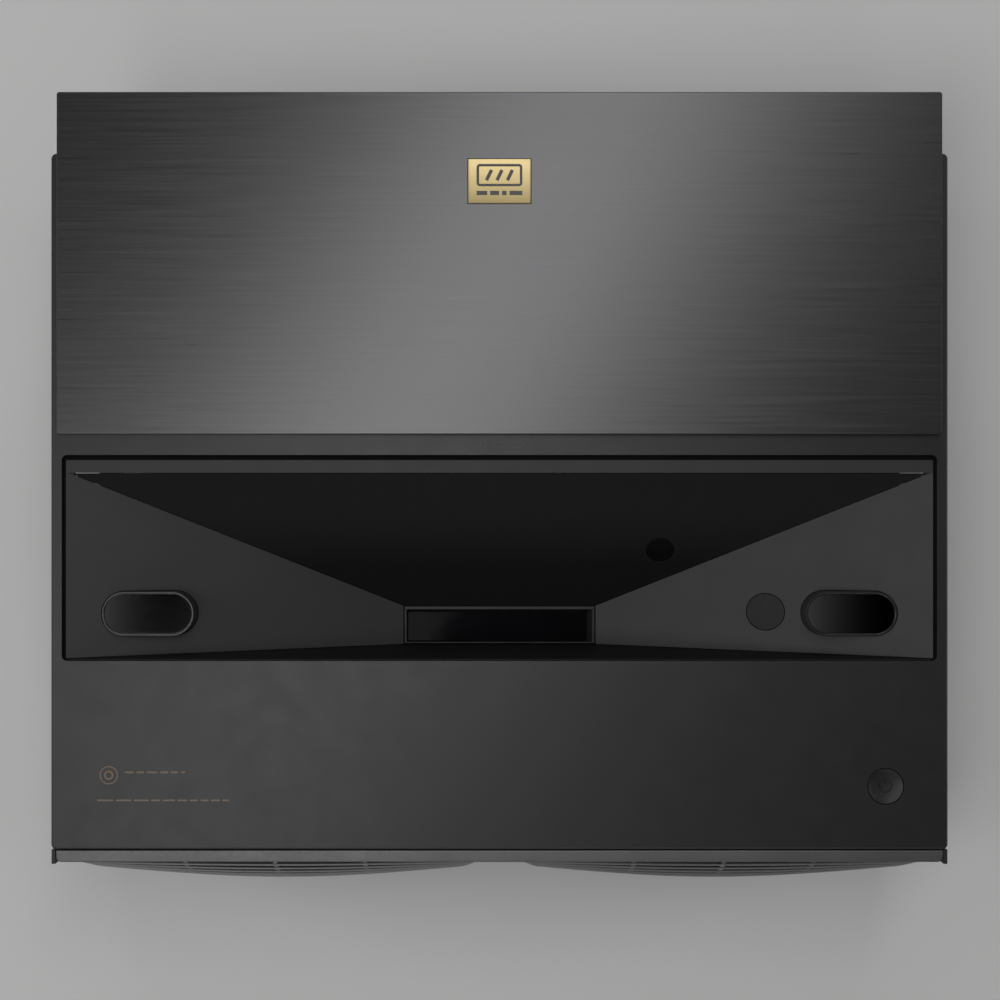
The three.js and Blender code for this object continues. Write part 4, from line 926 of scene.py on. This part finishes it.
board_low, board_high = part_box("main_board")
board_level = 0.026
board_rear = rear_low.y - 0.0003
board = refined("circuit_board", "main_board", solder_mask)
shell_plate = machined_metal("shell_plate", (0.50, 0.50, 0.51), 0.3, "x", 0.0006)
tongue_plastic = moulded_plastic("tongue_plastic", (0.010, 0.010, 0.011), 0.4, 0.0006, 0.00001)
for finish in (shell_plate, fin_alloy, tongue_plastic):
    board.data.materials.append(finish)
for face in board.data.polygons:
    at = face.center
    if at.y > board_rear - 0.018 and at.z > board_level + 0.0017:
        face.material_index = 1
    elif at.z > board_level + 0.0017 and at.y < board_rear - 0.03:
        face.material_index = 2
    if at.y > board_rear + 0.0001 and at.x > -0.107 and abs(at.z - 0.034) < 0.0049:
        face.material_index = 3
mount(board, "chassis", "circuit_green", "main_board")
tongue_shape = bmesh.new()
for x, z, wide, thick in ((-0.183, 0.032, 0.0114, 0.0014), (-0.162, 0.032, 0.0114, 0.0014),
                          (-0.141, 0.0324, 0.0099, 0.0021)):
    sections = []
    for back, less in ((0.0125, 0.0), (0.0016, 0.0), (0.0012, 0.0003)):
        y = board_high.y - back
        w = wide / 2 - less
        h = thick / 2 - less
        sections.append([(x - w, y, z - h), (x + w, y, z - h), (x + w, y, z + h), (x - w, y, z + h)])
    swept(tongue_shape, sections)
socket_tongues = formed("socket_tongues", tongue_shape, tongue_plastic)
mount(socket_tongues, "chassis", "shell_black")
chip_shape = bmesh.new()
chips = random.Random(9)
rim = 0.0002
for row in range(3):
    for column in range(5):
        cx = board_low.x + 0.100 + column * 0.006 - 0.004 * row
        cy = board_low.y + 0.014 + row * 0.019
        w = chips.uniform(0.0012, 0.0024)
        d = chips.uniform(0.0012, 0.0060)
        h = chips.uniform(0.0008, 0.0022)
        top = board_level + 0.0016
        sections = [tile(cx - w, cx + w, cy - d, cy + d, top - 0.0001, 0.0002, 2),
                    tile(cx - w, cx + w, cy - d, cy + d, top + h - 0.0002, 0.0002, 2),
                    tile(cx - w + rim, cx + w - rim, cy - d + rim, cy + d - rim, top + h, 0.0002, 2)]
        swept(chip_shape, sections)
board_chips = formed("board_chips", chip_shape, tongue_plastic)
mount(board_chips, "chassis", "shell_black")

# ---- Power supply ----
# A folded aluminium tray carries the transformer, three tall capacitors and a heat sink.
# It is screwed to the pan beside the mains inlet, and its walls keep the live parts covered.

fixed_finish("power_supply", machined_metal("supply_alloy", (0.45, 0.45, 0.46), 0.42, "x", 0.0008))

# ---- Feet ----
# Each is a round pad of moulded rubber with a ribbed grip, on a steel stud with a fine thread.
# The stud winds up and down in a boss in the pan to level the projector.


def moulded_rubber(name, tone):
    finish, tree, shader = new_finish(name)
    bloom = between(tree, speckle(tree, 0.01, 5), 0, 1)
    dark = [0.8 * c for c in tone]
    light = [1.5 * c for c in tone]
    tree.links.new(two_tones(tree, bloom, dark, light), shader.inputs["Base Color"])
    tree.links.new(between(tree, bloom, 0.7, 0.9, 0, 1), shader.inputs["Roughness"])
    tree.links.new(relief(tree, speckle(tree, 0.0007, 4), 0.00005), shader.inputs["Normal"])
    return finish


pad_rubber = moulded_rubber("pad_rubber", (0.012, 0.012, 0.0125))
for word in ("front_left", "front_right", "rear_left", "rear_right"):
    low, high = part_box("foot_pad_" + word)
    x = (low.x + high.x) / 2
    y = (low.y + high.y) / 2
    reach = (high.x - low.x) / 2
    steps = [(0.0, 0.0045, 0.0003), (0.0, reach - 0.006, 0.0003), (0.0, reach - 0.0045, 0.0),
             (0.0, reach - 0.001, 0.0), (0.0, reach - 0.0003, 0.0003), (0.0, reach, 0.001),
             (1.0, reach, 0.0016), (1.0, reach, 0.0058), (0.0, reach, 0.0064),
             (0.0, reach - 0.0006, 0.0074), (0.0, reach - 0.002, 0.0085),
             (0.0, 0.0046, 0.0085), (0.0, 0.0043, 0.0082), (0.0, 0.0043, 0.003)]
    rings = []
    for grip, radius, z in steps:
        ring = []
        for k in range(96):
            turn = k * math.tau / 96
            out = radius - grip * 0.00045 * (k % 4 in (2, 3))
            ring.append((x + out * math.cos(turn), y + out * math.sin(turn), low.z + z))
        rings.append(ring)
    pad = ringed("foot_" + word, rings, pad_rubber)
    mount(pad, "foot_pad_" + word, "foot_rubber", "foot_pad_" + word)
    low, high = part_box("foot_stud_" + word)
    stud_shape = bmesh.new()
    threaded(stud_shape, (x, y), "z", low.z, high.z, 0.004, 0.0005, 0.00125, 1, 24, 6)
    stud = formed("stud_" + word, stud_shape, rod_steel)
    mount(stud, "foot_stud_" + word, "drive_steel", "foot_stud_" + word)

# ---- Floor ----
# A plain pale paper sweep, laid flat and far wider than the projector.
# The projector stands on it on its four rubber feet.

floor_shape = bmesh.new()
bmesh.ops.create_grid(floor_shape, x_segments=2, y_segments=2, size=6)
floor_mesh = bpy.data.meshes.new("floor")
floor_shape.to_mesh(floor_mesh)
floor_shape.free()
floor_finish, floor_tree, floor_shader = new_finish("floor_paper")
floor_tone = two_tones(floor_tree, speckle(floor_tree, 0.4, 2), (0.80, 0.80, 0.795), (0.83, 0.83, 0.825))
floor_tree.links.new(floor_tone, floor_shader.inputs["Base Color"])
floor_shader.inputs["Roughness"].default_value = 0.9
floor = finished("floor", floor_mesh, floor_finish)

# ---- Studio light ----
# One long soft box hangs above the projector, turned so that its glow crosses the cover aslant.
# Four soft boxes stand round the case, and a small one hangs over the front left corner.

world = bpy.data.worlds.new("studio")
bpy.context.scene.world = world
world.use_nodes = True
world_tree = world.node_tree
room = world_tree.nodes["Background"]
room.inputs["Strength"].default_value = 1.0
ray = world_tree.nodes.new("ShaderNodeLightPath")
room_tone = two_tones(world_tree, ray.outputs["Is Camera Ray"], (0.05, 0.05, 0.05), (0.62, 0.62, 0.62))
world_tree.links.new(room_tone, room.inputs["Color"])


def soft_box(name, place, target, wide, tall, power, roll=0.0):
    light = bpy.data.lights.new(name, "AREA")
    light.shape = "RECTANGLE"
    light.size = wide
    light.size_y = tall
    light.energy = power
    lamp = bpy.data.objects.new(name, light)
    aim = (Vector(target) - Vector(place)).to_track_quat("-Z", "Y")
    lamp.rotation_euler = aim.to_euler()
    lamp.rotation_euler.rotate_axis("Z", roll)
    lamp.location = place
    bpy.context.scene.collection.objects.link(lamp)


soft_box("long_box", (-0.12, 0.12, 1.8), (-0.12, 0.12, 0), 0.36, 1.9, 8.4, math.radians(-29))
soft_box("left_box", (-2.1, 0.1, 1.1), (0, 0, 0.1), 1.3, 1.0, 8)
soft_box("right_box", (2.1, 0.1, 1.1), (0, 0, 0.1), 1.3, 1.0, 5.5)
soft_box("front_box", (0, -2.2, 1.0), (0, 0, 0.1), 1.6, 0.9, 7)
soft_box("rear_box", (0, 2.2, 1.2), (0, 0, 0.1), 1.6, 1.0, 9)
soft_box("corner_box", (-1.15, -0.25, 1.8), (-0.2, -0.07, 0.15), 0.5, 0.9, 2.0)

# ---- Camera ----
# A long lens hangs a metre over the case and looks straight down on the middle of it.
# The tones are shown as they are, without a film curve.

camera_data = bpy.data.cameras.new("camera")
camera_data.sensor_width = 36
camera_data.lens = 64.59
camera = bpy.data.objects.new("camera", camera_data)
camera.location = (0.0003, -0.0018, 1.151)
bpy.context.scene.collection.objects.link(camera)
bpy.context.scene.camera = camera
bpy.context.scene.view_settings.view_transform = "Standard"
